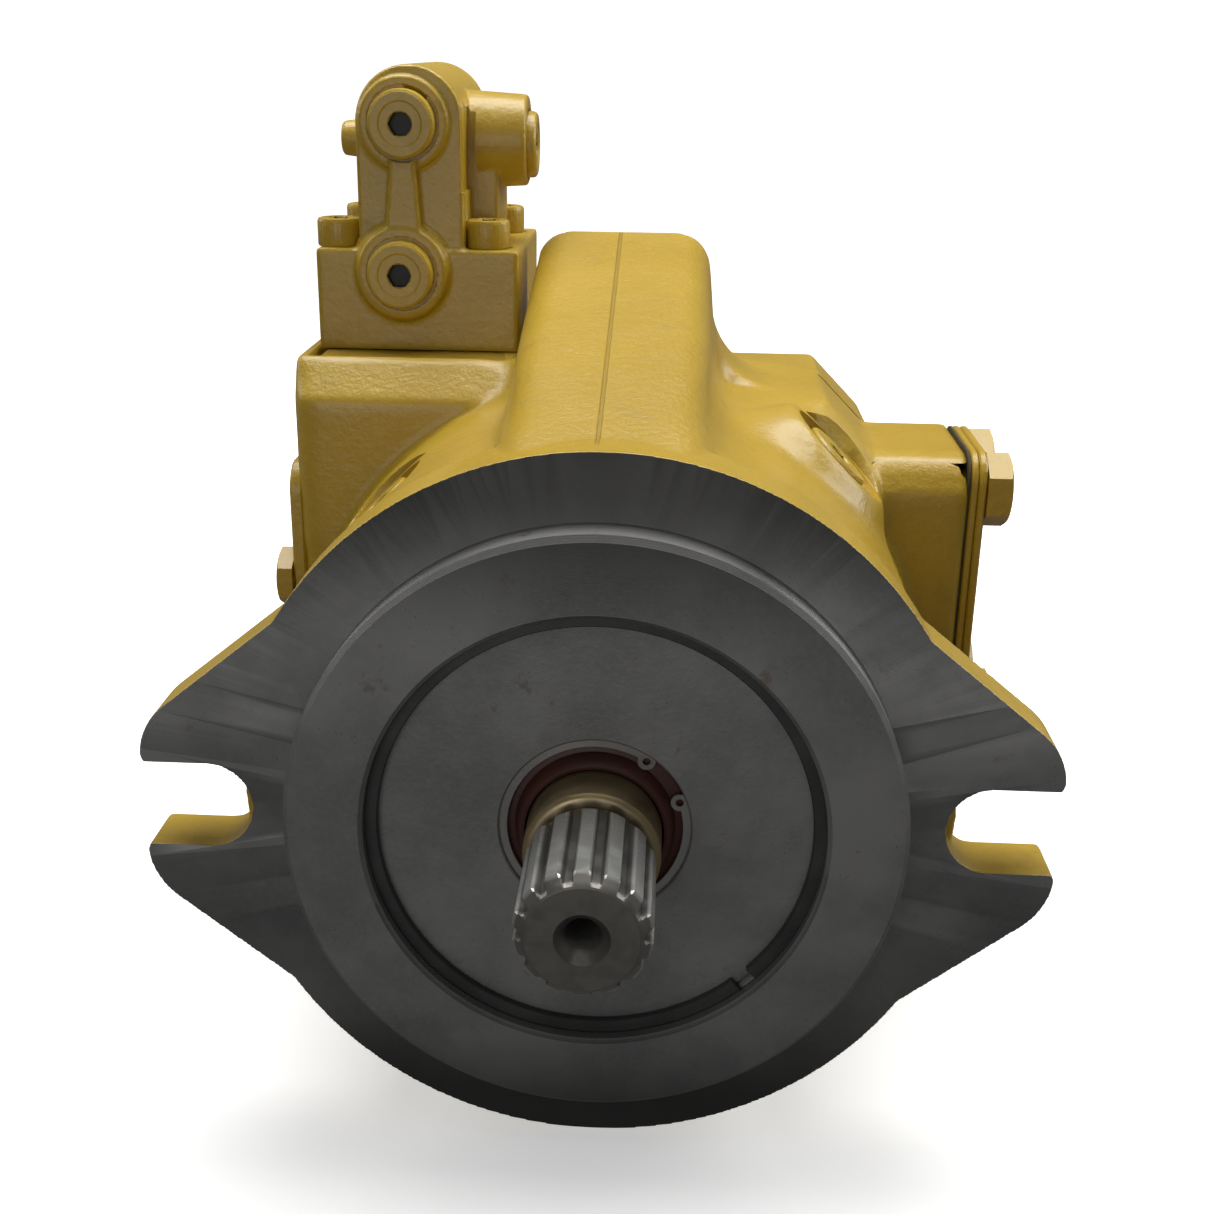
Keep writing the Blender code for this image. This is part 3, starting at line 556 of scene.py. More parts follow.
def cover_blank():
    """A round cap with a boss, on a squared flange."""
    form = bmesh.new()
    profile = [(0, COVER_FRONT - 2), (92.6, COVER_FRONT - 2), (92.6, COVER_BACK - 5)]
    profile += [(88, COVER_BACK), (44, COVER_BACK), (40, COVER_BACK + 9.7), (0, COVER_BACK + 9.7)]
    add_lathe(form, profile, 128)
    corner = [(-75, -61), (-58, -78), (61, -78), (78, -61)]
    corner += [(78, 67), (61, 84), (-58, 84), (-75, 67)]
    add_prism(form, corner, COVER_FRONT - 2, COVER_BACK - 2.4)
    return form


cover = casting(cover_blank(), "cover_casting", 0.9, 16)
cover_tools = [
    tool_from(add_box, (-BIG, BIG), (100, COVER_FRONT), (-BIG, BIG)),
    tool_from(add_box, (-BIG, -24.6), (100, 230), (57.6, BIG)),
    tool_from(add_box, (-BIG, BIG), (100, 230), (83.9, BIG)),
]
cut(cover, cover_tools)
cut(cover, inside_of("end_cover", [], [((0, 150, 0), (0, 183, 0), 87)]))
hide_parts("end_cover")
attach(cover, "case")
print("end cover:", len(cover.data.polygons), "faces")

# %% [markdown]
# ## Screws, bolts and plugs
# A cap screw head is turned, knurled and given a hexagon socket. A bolt head is a hexagon whose
# corners are turned off, and stands on a thin washer face. Both are made along Y at the origin,
# with the head towards -Y and a ridged stem behind it, and are then turned and placed.

# %% Makers for fasteners
TURNS = {
    "-Y": (0, 0, 0), "+X": (0, 0, 90), "-X": (0, 0, -90), "+Z": (-90, 0, 0), "+Y": (0, 0, 180),
}


def place(thing, at, facing):
    """Turns a piece made facing -Y so that it faces another way, and moves it there."""
    turn = Matrix.Identity(4)
    for angle, line in zip(TURNS[facing], "XYZ"):
        turn = Matrix.Rotation(math.radians(angle), 4, line) @ turn
    thing.data.transform(Matrix.Translation(Vector(at) * MM) @ turn)
    return thing


def hexagon(radius, y, turn=0.0):
    """Six corners at this distance from the Y line."""
    spokes = [math.radians(60 * i + turn) for i in range(6)]
    return [(radius * math.cos(a), y, radius * math.sin(a)) for a in spokes]


def sharp_from(thing, degrees):
    """Smooth shading that stops at edges steeper than this."""
    thing.data.shade_smooth()
    thing.data.set_sharp_from_angle(angle=math.radians(degrees))
    return thing


def hex_head(name, reach, thick, turn=30.0):
    """A hexagon head with turned corners, from y = 0 to -thick."""
    form = bmesh.new()
    skin(form, [hexagon(reach, 0.0, turn), hexagon(reach, -thick, turn)])
    flat = reach * math.cos(math.pi / 6)
    head = object_from(form, name)
    dome = [(0, 2), (reach + 1, 2), (reach + 1, 1 - thick)]
    dome += [(reach + 0.4, 0.45 * reach / 5 - thick), (flat * 0.96, -thick), (0, -thick)]
    cut(head, [tool_from(add_lathe, dome, 72)], "INTERSECT")
    washer = [(0, 0.0), (flat * 0.97, 0.0), (flat * 0.97, -0.6), (0, -0.6)]
    return cut(head, [tool_from(add_lathe, washer, 72)], "UNION")


def socket_head(name, outline, key, depth, top, ridges=0):
    """A turned head with a hexagon socket of this width across its corners."""
    form = bmesh.new()
    verts = add_lathe(form, outline, 144)
    for vert in verts:
        out = math.hypot(vert.co.x, vert.co.z)
        if ridges and out > outline[2][0] * 0.985 * MM and vert.co.y < -1.0 * MM:
            angle = math.atan2(vert.co.z, vert.co.x)
            scale = 1 - 0.012 * (0.5 + 0.5 * math.cos(angle * ridges))
            vert.co.x *= scale
            vert.co.z *= scale
    head = object_from(form, name)
    form = bmesh.new()
    skin(form, [hexagon(key, top - 1), hexagon(key, top + depth)])
    funnel = [(0, top - 1), (key + 0.9, top - 1), (key - 0.3, top + 0.5), (0, top + 0.5)]
    return cut(head, [tool_from(add_lathe, funnel), object_from(form, "key")])


THREAD = 1.5


def stem(form, radius, start, end):
    """A threaded stem with a ridge for each turn of the thread."""
    outline, y = [(0, start)], start
    while y < end - THREAD:
        outline += [(radius, y + 0.15), (radius - 0.75, y + 0.75), (radius, y + 1.35)]
        y += THREAD
    return add_lathe(form, outline + [(radius - 0.8, end), (0, end)], 48)


def shade_socket(thing, key, top, depth):
    """Gives the faces inside the socket the second material slot, a near-black painted shade."""
    for face in thing.data.polygons:
        out = math.hypot(face.center.x, face.center.z) / MM
        if out < key * 0.97 and top + 0.5 < face.center.y / MM < top + depth + 0.2:
            face.material_index = 1
    return thing


def with_stem(head, radius, end):
    """The head with its stem joined on."""
    form = bmesh.new()
    stem(form, radius, -0.4, end)
    return cut(head, [object_from(form, "stem")], "UNION")


def fit_fastener(thing, node):
    """The fastener stands for its CAD node and stays on the case."""
    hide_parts(node)
    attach(thing, "case")


# %% [markdown]
# ## Port bolts
# Four hexagon bolts hold each port cover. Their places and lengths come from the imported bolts'
# boxes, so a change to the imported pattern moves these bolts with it.

# %% Bolts of the port covers
def port_bolt(name, node, facing, reach, thick):
    """A hexagon bolt whose seat is where its CAD node has it."""
    low, high = [Vector(corner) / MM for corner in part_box(node)]
    middle = (low + high) / 2
    outer = high.x if facing == "+X" else low.x
    seat = outer - thick if facing == "+X" else outer + thick
    thing = with_stem(hex_head(name, reach, thick), 5.8, high.x - low.x - thick)
    fit_fastener(place(thing, (seat, middle.y, middle.z), facing), node)
    return thing


painted = []
for number in range(1, 5):
    right, left = f"pressure_bolt_{number}", f"suction_bolt_{number}"
    painted.append(port_bolt(f"right_port_bolt_{number}", right, "+X", 11.0, 7.2))
    painted.append(port_bolt(f"left_port_bolt_{number}", left, "-X", 9.2, 4.9))
print("port bolts:", len(painted))

# %% [markdown]
# ## Plugs and cap screws
# The three plugs close the ends of drilled passages. They have a collar and a shallow hexagon
# socket, and the four cap screws have a deep one in a knurled head.

# %% Plugs and cap screws of the valve
for name, x, y, z, facing, thick in (
    ("upper_plug", SPOOL[0], VALVE_Y[0], SPOOL[1], "-Y", 5.5),
    ("lower_plug", LOWER_PLUG[0], 117.0, LOWER_PLUG[1], "-Y", 5.5),
    ("side_plug", -30.2, *SIDE_PLUG, "+X", 3.2),
):
    outline = [(0, -0.4), (9.45, -0.4), (9.45, 1.2 - thick), (9.2, 0.5 - thick)]
    outline += [(8.5, 0.02 - thick), (6.4, -thick), (5.9, 0.3 - thick), (0, 0.3 - thick)]
    deep = 2.6 if thick > 4 else 1.4
    plug = with_stem(socket_head(f"valve_{name}", outline, 3.5, deep, 0.3 - thick), 6.9, 9.9)
    shade_socket(plug, 3.5, 0.3 - thick, deep)
    fit_fastener(place(plug, (x, y, z), facing), name)
    painted.append(plug)
for number, (x, y) in enumerate(CAP_SCREWS, 1):
    outline = [(0, 0), (6.3, 0), (6.5, -0.5), (6.5, -7.0), (6.1, -7.8), (5.4, -8.0), (0, -8.0)]
    screw = with_stem(socket_head(f"cap_screw_{number}", outline, 3.5, 4, -8.0, 36), 3.95, 42)
    shade_socket(screw, 3.5, -8.0, 4)
    fit_fastener(place(screw, (x, y, VALVE_TOP + 0.3), "+Z"), f"valve_screw_{number}")
    painted.append(screw)

print("with the valve's:", len(painted), "fasteners")

# %% [markdown]
# ## Drain plugs and cover screws
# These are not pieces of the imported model, only details that stay on the case. The drain plugs
# sit in their spot faces at 45 degrees, and the cover's screws stand round its edge.

# %% Drain plugs of the housing and screws of the end cover
for side, (sign, y, far) in DRAIN_PORTS.items():
    outline = [(0, 6), (8.1, 6), (8.1, 0.1), (10.4, 0.1), (10.4, -2.0), (9.7, -2.7), (0, -2.7)]
    plug = shade_socket(socket_head(f"drain_plug_{side}", outline, 4.0, 3.0, -2.7), 4.0, -2.7, 3.0)
    upright = Matrix.Rotation(math.radians(-90), 4, "X")
    turn = Matrix.Rotation(math.radians(45 * sign), 4, "Y") @ upright
    out = Vector(out_at(sign, y, far - 2.4))
    plug.data.transform(Matrix.Translation(out * MM) @ turn)
    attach(plug, "case")
    painted.append(plug)
COVER_SCREWS = [(-60, -63), (62, -63), (62, 68), (0, -82), (82, 0), (-82, 0)]
for number, (x, z) in enumerate(COVER_SCREWS, 1):
    outline = [(0, 6), (7.6, 6), (8.0, 5.4), (8.0, -4.4), (7.4, -5.2), (0, -5.2)]
    screw = socket_head(f"cover_screw_{number}", outline, 4.6, 5.0, -5.2, 40)
    shade_socket(screw, 4.6, -5.2, 5.0)
    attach(place(screw, (x, COVER_BACK - 0.3, z), "+Y"), "case")
    painted.append(screw)
print("all painted fasteners:", len(painted))

# %% [markdown]
# ## Port plates
# The ports are closed with plates. Seen on edge each plate shows its rounded corners and a slight
# roll where it was sheared. A thin gasket lies between the right-hand plates and the housing.

# %% Plates and gasket
PLATE_CORNER = 9.0


def rounded(y0, y1, z0, z1, radius, steps=10):
    """A rectangle's outline with round corners."""
    corners = ((y1, z1, 0), (y0, z1, 90), (y0, z0, 180), (y1, z0, 270))
    outline = []
    for y, z, start in corners:
        centre = (y - math.copysign(radius, y - y0 - 1), z - math.copysign(radius, z - z0 - 1))
        outline += arc(radius, start, start + 90, steps, centre)
    return outline


def plate(name, node, roll):
    """The plate in the place of its CAD node, with its edges rolled over."""
    low, high = [Vector(corner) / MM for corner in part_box(node)]
    form = bmesh.new()
    rings = []
    for x, inset in ((low.x, roll), (low.x + roll, 0), (high.x - roll, 0), (high.x, roll)):
        edges = (low.y + inset, high.y - inset, low.z + inset, high.z - inset)
        outline = rounded(*edges, PLATE_CORNER - inset)
        rings.append([(x, y, z) for y, z in outline])
    skin(form, rings)
    return sharp_from(object_from(form, name), 50)


plates = []
for name, node, roll in (
    ("right_cover_plate", "pressure_cover", 0.5),
    ("right_adapter_plate", "pressure_adapter", 0.45),
    ("right_gasket", "pressure_gasket", 0.1),
    ("left_cover_plate", "suction_cover", 0.7),
):
    thing = plate(name, node, roll)
    low, high = [Vector(corner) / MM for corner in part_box(node)]
    port = node.split("_")[0]
    tools = []
    for number in range(1, 5):
        near, far = [Vector(corner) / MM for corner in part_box(f"{port}_bolt_{number}")]
        y, z = (near.y + far.y) / 2, (near.z + far.z) / 2
        tools.append(tool_from(add_rod, (low.x - 2, y, z), (high.x + 2, y, z), 6.5))
    cut(thing, tools)
    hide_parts(node)
    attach(thing, "case")
    plates.append(thing)
print("plates:", [thing.name for thing in plates])

# %% [markdown]
# ## The spring that gives way
# The mechanism inside is shown as the imported model has it. Only the bias spring changes its
# shape: it is pressed together when its seat slides back, so it is shown as a welded copy with a
# mesh of its own.

# %% Bias spring
spring = welded_copy("bias_spring")
spring.name = "bias_coil"
low, high = [Vector(corner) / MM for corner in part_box("bias_spring")]
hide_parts("bias_spring")
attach(spring, "case")
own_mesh(spring)

# %% [markdown]
# ## The shaft
# The shaft end is hobbed: fourteen teeth with flat tips and round roots run out into a plain
# neck, behind which the seal's journal starts. The whole of it is one skin whose rings change
# shape from spline to circle, so the run-out comes by itself. The end has a countersunk, threaded
# centre hole.

# %% Hobbed shaft
TEETH, TIP, ROOT, NECK, JOURNAL = 14, 15.6, 13.5, 13.3, 16.6
SHAFT_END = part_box("drive_shaft")[0].y / MM


def spline_ring(y, limit, per_tooth=14):
    """A ring of the spline, turned down to the limit where that is smaller."""
    ring = []
    for i in range(TEETH * per_tooth):
        phase = abs((i / per_tooth) % 1.0 - 0.5)
        rise = min(max((phase - 0.24) / 0.13, 0), 1)
        radius = min(TIP + (ROOT - TIP) * rise * rise * (3 - 2 * rise), limit)
        angle = 2 * math.pi * (i + 0.5) / (TEETH * per_tooth)
        ring.append((radius * math.cos(angle), y, radius * math.sin(angle)))
    return ring


def circle_ring(y, radius, sides=TEETH * 14):
    """A plain ring with as many points as the spline has."""
    spokes = [2 * math.pi * (i + 0.5) / sides for i in range(sides)]
    return [(radius * math.cos(a), y, radius * math.sin(a)) for a in spokes]


def shaft_blank():
    """Spline, neck, journal and the plain length behind them."""
    steps = [(0, 0.5), (0, 12.6), (0.3, 13.1), (1.2, 13.9), (2.2, 14.8), (3.1, TIP), (3.4, TIP)]
    rings = [spline_ring(SHAFT_END + far, limit) for far, limit in steps]
    rings += [spline_ring(-27 + i, TIP - 0.45 * i) for i in range(6)]
    turned = [(NECK, -21.9), (NECK, -21.6), (15.3, -21.6), (16.1, -21.2), (JOURNAL, -20.6)]
    turned += [(JOURNAL, 5), (17, 5.6), (17, 138), (12, 139), (12, 179), (11, 180), (0.5, 180)]
    for radius, y in turned:
        rings.append(spline_ring(y, radius) if radius < ROOT else circle_ring(y, radius))
    form = bmesh.new()
    skin(form, rings)
    return object_from(form, "splined_shaft")


shaft = shaft_blank()
hole = [(0, SHAFT_END - 1), (6.9, SHAFT_END - 1), (6.3, SHAFT_END), (4.4, SHAFT_END + 2.4)]
for turn in range(14):
    start = SHAFT_END + 3 + turn * THREAD
    hole += [(3.9, start), (4.6, start + THREAD / 2)]
hole += [(3.9, SHAFT_END + 24), (0, SHAFT_END + 26)]
cut(shaft, [tool_from(add_lathe, hole, 96)])
sharp_from(shaft, 28)
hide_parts("drive_shaft")
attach(shaft, "rotor")
print("shaft faces:", len(shaft.data.polygons))

# %% [markdown]
# ## The front seal
# A turned carrier holds the shaft seal and is kept in by a snap ring. The seal is held by its own
# circlip, whose two eyes take the pliers. Rings with a gap are skins along an open arc.

# %% Carrier, snap ring, seal and circlip
EYE_RADIUS, EYE_TURNS = 22.0, (20, 56)


def open_ring(form, inner, outer, y0, y1, gap, half, steps=150, roll=0.25):
    """A flat ring with its gap at an angle in degrees, and its edges rounded."""
    rings = []
    for i in range(steps + 1):
        angle = math.radians(gap + half + (360 - 2 * half) * i / steps)
        section = [(inner, y0 + roll), (inner + roll, y0), (outer - roll, y0), (outer, y0 + roll)]
        section += [(outer, y1 - roll), (outer - roll, y1), (inner + roll, y1), (inner, y1 - roll)]
        rings.append([(r * math.cos(angle), y, r * math.sin(angle)) for r, y in section])
    return skin(form, rings)


def ring_piece(name, node, outline, sides=180):
    """A closed outline turned about the shaft, on the case."""
    form = bmesh.new()
    add_lathe(form, outline + outline[:1], sides)
    thing = object_from(form, name)
    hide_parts(node)
    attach(thing, "case")
    return thing


carrier = ring_piece("seal_carrier_turned", "seal_carrier", [
    (23.6, -3.5), (24.9, -3.5), (24.9, -5.3), (23.7, -5.4), (23.7, -5.8), (24.1, -6.1),
    (55.6, -6.1), (56.3, -5.4), (56.3, 6.7), (20.0, 6.7), (20.0, 4.4), (23.6, 4.4)])
seal = ring_piece("lip_seal", "shaft_seal", [
    (23.3, -2.9), (22.9, -3.3), (20.4, -3.3), (19.8, -3.6), (19.2, -6.6), (18.5, -8.3),
    (17.9, -8.7), (17.2, -8.5), (17.0, -8.0), (17.0, 4.1), (23.3, 4.1)])
form = bmesh.new()
open_ring(form, 53.5, 58.1, -8.6, -6.4, -46, 2.6)
snap_ring = object_from(form, "carrier_snap")
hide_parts("carrier_snap_ring")
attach(snap_ring, "case")
form = bmesh.new()
open_ring(form, 21.6, 24.4, -5.1, -3.9, 38, 17, roll=0.15)
turns = [math.radians(angle) for angle in EYE_TURNS]
eyes = [(EYE_RADIUS * math.cos(turn), EYE_RADIUS * math.sin(turn)) for turn in turns]
for x, z in eyes:
    add_rod(form, (x, -5.15, z), (x, -3.95, z), 2.2, sides=32)
circlip = object_from(form, "seal_clip")
cut(circlip, [tool_from(add_rod, (x, -8, z), (x, 0, z), 1.0, sides=24) for x, z in eyes])
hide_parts("seal_circlip")
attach(circlip, "case")
print("seal group:", [thing.name for thing in (carrier, seal, snap_ring, circlip)])

# %% [markdown]
# ## Shader arithmetic
# A finish is a sum of masks: paint here, bare metal there, rust in the speckles. Written as nodes
# by hand that is a page of links, so a small class lets a socket be used like a number. An
# expression such as 1 - mask * 0.4 adds the Math nodes that work it out.

# %% Sockets that do sums
class Value:
    """A shader value that can be added, multiplied and compared."""

    def __init__(self, recipe, socket):
        self.recipe, self.socket = recipe, socket

    def _sum(self, operation, first, second):
        return self.recipe.node("ShaderNodeMath", {"operation": operation}, {0: first, 1: second})

    def __add__(self, other):
        return self._sum("ADD", self, other)

    def __sub__(self, other):
        return self._sum("SUBTRACT", self, other)

    def __rsub__(self, other):
        return self._sum("SUBTRACT", other, self)

    def __mul__(self, other):
        return self._sum("MULTIPLY", self, other)

    def __truediv__(self, other):
        return self._sum("DIVIDE", self, other)

    def __pow__(self, other):
        return self._sum("POWER", self, other)

    __radd__ = __add__
    __rmul__ = __mul__

    def above(self, edge, soft):
        """0 below the edge, 1 once soft past it, and a straight ramp in between."""
        settings = {"clamp": True, "interpolation_type": "SMOOTHSTEP"}
        given = {"Value": self, "From Min": edge, "From Max": edge + soft}
        return self.recipe.node("ShaderNodeMapRange", settings, given)

    def below(self, edge, soft):
        """1 until soft before the edge, and 0 from the edge on."""
        return 1 - self.above(edge - soft, soft)


class Recipe:
    """One material, and the nodes that make it."""

    def __init__(self, name):
        self.material = bpy.data.materials.new(name)
        self.material.use_nodes = True
        self.tree = self.material.node_tree
        self.shader = self.tree.nodes["Principled BSDF"]
        self.place = self.node("ShaderNodeTexCoord", {}, {}, output="Object")
        given = {0: self.place, "Scale": 1 / MM}
        scaled = self.node("ShaderNodeVectorMath", {"operation": "SCALE"}, given)
        apart = self.tree.nodes.new("ShaderNodeSeparateXYZ")
        self.tree.links.new(scaled.socket, apart.inputs[0])
        self.x, self.y, self.z = [Value(self, out) for out in apart.outputs]

    def node(self, kind, settings, given, output=0):
        """Adds a node: first its settings, then the numbers or links of its sockets."""
        made = self.tree.nodes.new(kind)
        for key, setting in settings.items():
            setattr(made, key, setting)
        for key, value in given.items():
            if isinstance(value, Value):
                self.tree.links.new(value.socket, made.inputs[key])
            else:
                made.inputs[key].default_value = value
        return Value(self, made.outputs[output])

    def noise(self, per_metre, detail=2.0, rough=0.5, place=None):
        """Cloudy values with about this many swells to the metre."""
        given = {"Vector": place or self.place, "Scale": per_metre}
        given |= {"Detail": detail, "Roughness": rough}
        return self.node("ShaderNodeTexNoise", {}, given)

    def specks(self, per_metre):
        """Distance to the nearest of many scattered points."""
        return self.node("ShaderNodeTexVoronoi", {}, {"Vector": self.place, "Scale": per_metre})

    def mixed(self, share, first, second):
        """Two colours mixed by a share."""
        given = {"Factor": share, 6: first, 7: second}
        return self.node("ShaderNodeMix", {"data_type": "RGBA"}, given, output=2)

    def bumped(self, height, distance, under=None):
        """A bump this many millimetres high, on top of another one."""
        given = {"Height": height, "Distance": distance * MM, "Strength": 1.0}
        if under is not None:
            given["Normal"] = under
        return self.node("ShaderNodeBump", {}, given)

    def to(self, **given):
        """Feeds the finished values to the shader. An underscore stands for a space."""
        for key, value in given.items():
            socket = self.shader.inputs[key.replace("_", " ")]
            if isinstance(value, Value):
                self.tree.links.new(value.socket, socket)
            else:
                socket.default_value = value
        return self.material


# %% [markdown]
# ## Finishes
# The castings wear a thick ochre gloss paint that pools in the corners and dries with an orange-
# peel ripple. The flange and pilot are left bare: grey iron with turning rings, oily smears and
# the first specks of rust, with painted shade that darkens it towards the top and bottom. Bolts
# and plugs were painted with the pump, and their key sockets are given a near-black painted shade.

# %% Paint and bare iron
COAT, COAT_ROUGH = 0.2, 0.14


def rgb(red, green, blue):
    """An opaque colour."""
    return (red, green, blue, 1.0)


def paint_values(mix):
    """Colour, roughness and bump of the ochre paint."""
    cloud = mix.noise(14, 4)
    colour = mix.mixed(cloud.above(0.3, 0.4), rgb(0.40, 0.255, 0.014), rgb(0.47, 0.31, 0.026))
    thin = mix.noise(240, 4, 0.6).above(0.55, 0.2)
    colour = mix.mixed(thin * 0.15, colour, rgb(0.56, 0.40, 0.07))
    stain = mix.noise(48, 6, 0.65).above(0.58, 0.12)
    colour = mix.mixed(stain * 0.3, colour, rgb(0.24, 0.15, 0.012))
    rough = 0.3 + mix.noise(70, 3) * 0.16 + stain * 0.08
    swell = mix.bumped(mix.noise(75, 2, 0.5), 0.35)
    sand = mix.bumped(mix.noise(520, 3, 0.6), 0.26, swell)
    peel = mix.bumped(mix.noise(1150, 2, 0.5), 0.05, sand)
    return colour, rough, peel


def iron_values(mix, rings=True, coarse=0.0):
    """Colour, roughness and bump of grey iron, turned or as it was cast, with painted shade towards
    the top and bottom.
    """
    radius = (mix.x**2 + mix.z**2) ** 0.5
    cloud = mix.noise(24, 5, 0.6)
    colour = mix.mixed(cloud.above(0.35, 0.3), rgb(0.17, 0.168, 0.165), rgb(0.25, 0.247, 0.24))
    grain = mix.noise(620, 4, 0.7).above(0.45, 0.25)
    colour = mix.mixed(grain * 0.35, colour, rgb(0.24, 0.24, 0.235))
    rust = mix.noise(85, 6, 0.7).above(0.62, 0.07)
    colour = mix.mixed(rust * 0.45, colour, rgb(0.15, 0.085, 0.045))
    pits = mix.specks(760).below(0.17, 0.1) * mix.noise(130, 2).above(0.5, 0.1)
    colour = mix.mixed(pits * 0.6, colour, rgb(0.045, 0.042, 0.04))
    # Painted shade: the colour goes nearly black towards the top and bottom, standing in for the
    # darker reflections there.
    height = (mix.z**2) ** 0.5
    colour = mix.mixed(height.above(44, 40) * 0.9, colour, rgb(0.03, 0.029, 0.027))
    rough = 0.36 + cloud * 0.2 + rust * 0.15
    bump = mix.bumped(mix.noise(700, 4, 0.6), 0.03 + coarse)
    if rings:
        groove = mix.node("ShaderNodeMath", {"operation": "SINE"}, {0: radius * 12.0})
        bump = mix.bumped(groove, 0.004, bump)
    return colour, rough, bump


def both(mix, share, first, second):
    """Two sets of colour, roughness and bump, mixed by a share."""
    colour = mix.mixed(share, first[0], second[0])
    rough = first[1] + share * (second[1] - first[1])
    given = {"Factor": share, 4: first[2], 5: second[2]}
    bump = mix.node("ShaderNodeMix", {"data_type": "VECTOR"}, given, output=1)
    return colour, rough, bump


def paint():
    """The ochre gloss paint alone."""
    mix = Recipe("ochre_paint")
    colour, rough, bump = paint_values(mix)
    return mix.to(Base_Color=colour, Roughness=rough, Normal=bump,
                  Coat_Weight=COAT, Coat_Roughness=COAT_ROUGH)


def housing_finish():
    """Paint, with bare iron on the turned front and inside the barrel."""
    mix = Recipe("housing_finish")
    radius = (mix.x**2 + mix.z**2) ** 0.5
    front = mix.y.below(0.25, 0.2)
    inside = radius.below(60.6, 0.3)
    bare = 1 - (1 - front) * (1 - inside)
    colour, rough, bump = both(mix, bare, paint_values(mix), iron_values(mix))
    off_centre = ((mix.x + 1.4) ** 2) ** 0.5
    seam = off_centre.below(0.75, 0.5) * mix.z.above(90, 2) * mix.y.above(6, 3)
    colour = mix.mixed(seam * 0.5, colour, rgb(0.22, 0.13, 0.012))
    bump = mix.bumped(seam, 0.25, bump)
    return mix.to(Base_Color=colour, Roughness=rough, Normal=bump, Metallic=bare * 0.5,
                  Coat_Weight=(1 - bare) * COAT, Coat_Roughness=COAT_ROUGH)


# %% [markdown]
# ## Steel, iron and rubber
# The shaft is ground steel, coloured far darker between its teeth than on their tips as painted
# shade in the grooves. The sealed parts inside get simple finishes of their own: bright or
# blackened steel, bronze, rubber and fibre.

# %% Steel and the small finishes
def shaft_steel():
    """Ground steel on the spline, darker between the teeth as painted shade, and a bronze-tinted film
    where the seal runs.
    """
    mix = Recipe("shaft_steel")
    radius = (mix.x**2 + mix.z**2) ** 0.5
    journal = mix.y.above(-21.8, 0.3)
    # Painted shade: the roots between the teeth get a far darker colour than the tips.
    land = radius.above(14.6, 0.7)
    cloud = mix.noise(160, 4, 0.6).above(0.35, 0.3)
    steel_tint = mix.mixed(land, rgb(0.12, 0.118, 0.112), rgb(0.42, 0.42, 0.40))
    steel_tint = mix.mixed(cloud * 0.35, steel_tint, rgb(0.13, 0.12, 0.105))
    face = mix.y.below(-57.4, 1.0)
    steel_tint = mix.mixed(face * 0.75, steel_tint, rgb(0.2, 0.19, 0.17))
    colour = mix.mixed(journal, steel_tint, rgb(0.33, 0.255, 0.135))
    given = {"Vector": mix.place, "Scale": (1400.0, 40.0, 1400.0)}
    bump = mix.bumped(mix.noise(1, 3, 0.6, mix.node("ShaderNodeMapping", {}, given)), 0.012)
    rough = 0.3 + cloud * 0.18
    return mix.to(Base_Color=colour, Roughness=rough, Normal=bump, Metallic=0.8)


def carrier_iron():
    """Iron of the seal's carrier, with a coarser skin."""
    mix = Recipe("carrier_iron")
    colour, rough, bump = iron_values(mix, rings=False, coarse=0.05)
    return mix.to(Base_Color=colour, Roughness=rough, Normal=bump, Metallic=0.45)


def bare_iron():
    """Turned iron of the parts inside."""
    mix = Recipe("machined_iron")
    colour, rough, bump = iron_values(mix)
    return mix.to(Base_Color=colour, Roughness=rough, Normal=bump, Metallic=0.55)


def steel(name, colour, rough, metallic=0.9, streak=0.25):
    """Ground metal, with fine streaks along the shaft's direction."""
    mix = Recipe(name)
    given = {"Vector": mix.place, "Scale": (900.0, 30.0, 900.0)}
    along = mix.node("ShaderNodeMapping", {}, given)
    grain = mix.noise(1, 3, 0.6, along)
    cloud = mix.noise(40, 4)
    tint = mix.mixed(cloud.above(0.35, 0.35), rgb(*[c * 0.8 for c in colour]), rgb(*colour))
    bump = mix.bumped(grain, 0.01)
    return mix.to(Base_Color=tint, Roughness=rough + grain * streak, Normal=bump,
                  Metallic=metallic)


def plain(name, colour, rough, metallic=0.0, ripple=0.05):
    """A cloudy, slightly rippled finish for what is mostly hidden."""
    mix = Recipe(name)
    cloud = mix.noise(70, 4)
    tint = mix.mixed(cloud.above(0.3, 0.4), rgb(*[c * 0.7 for c in colour]), rgb(*colour))
    bump = mix.bumped(mix.noise(600, 3), ripple)
    return mix.to(Base_Color=tint, Roughness=rough + cloud * 0.15, Normal=bump, Metallic=metallic)


FINISHES = {
    "ochre_paint": paint(),
    "housing_finish": housing_finish(),
    "machined_iron": bare_iron(),
    "shaft_steel": shaft_steel(),
    "carrier_iron": carrier_iron(),
    "bright_steel": steel("bright_steel", (0.36, 0.355, 0.34), 0.22),
    "dark_steel": plain("dark_steel", (0.07, 0.07, 0.068), 0.38, 0.6),
    "bronze": steel("bronze", (0.45, 0.28, 0.12), 0.3),
    "brown_rubber": plain("brown_rubber", (0.075, 0.022, 0.015), 0.45, 0.0, 0.12),
    "gasket_fibre": plain("gasket_fibre", (0.06, 0.045, 0.02), 0.8, 0.0, 0.15),
    # Painted shade: near black on the faces inside the key sockets.
    "socket_shade": plain("socket_shade", (0.02, 0.02, 0.02), 0.5),
}
print("finishes:", ", ".join(FINISHES))

# %% [markdown]
# ## Giving out the finishes
# The pieces made here take a finish by name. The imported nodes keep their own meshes, so only
# their material slots are filled, each with the finish that the record names for it.

# %% Put the finishes on

def wear(thing, finish):
    """Sets the finish without losing which faces are marked as sockets."""
    marks = [face.material_index for face in thing.data.polygons]
    thing.data.materials.clear()
    thing.data.materials.append(FINISHES[finish])
    # Faces marked inside a socket get the near-black painted shade.
    if max(marks) == 1:
        thing.data.materials.append(FINISHES["socket_shade"])
        thing.data.polygons.foreach_set("material_index", marks)


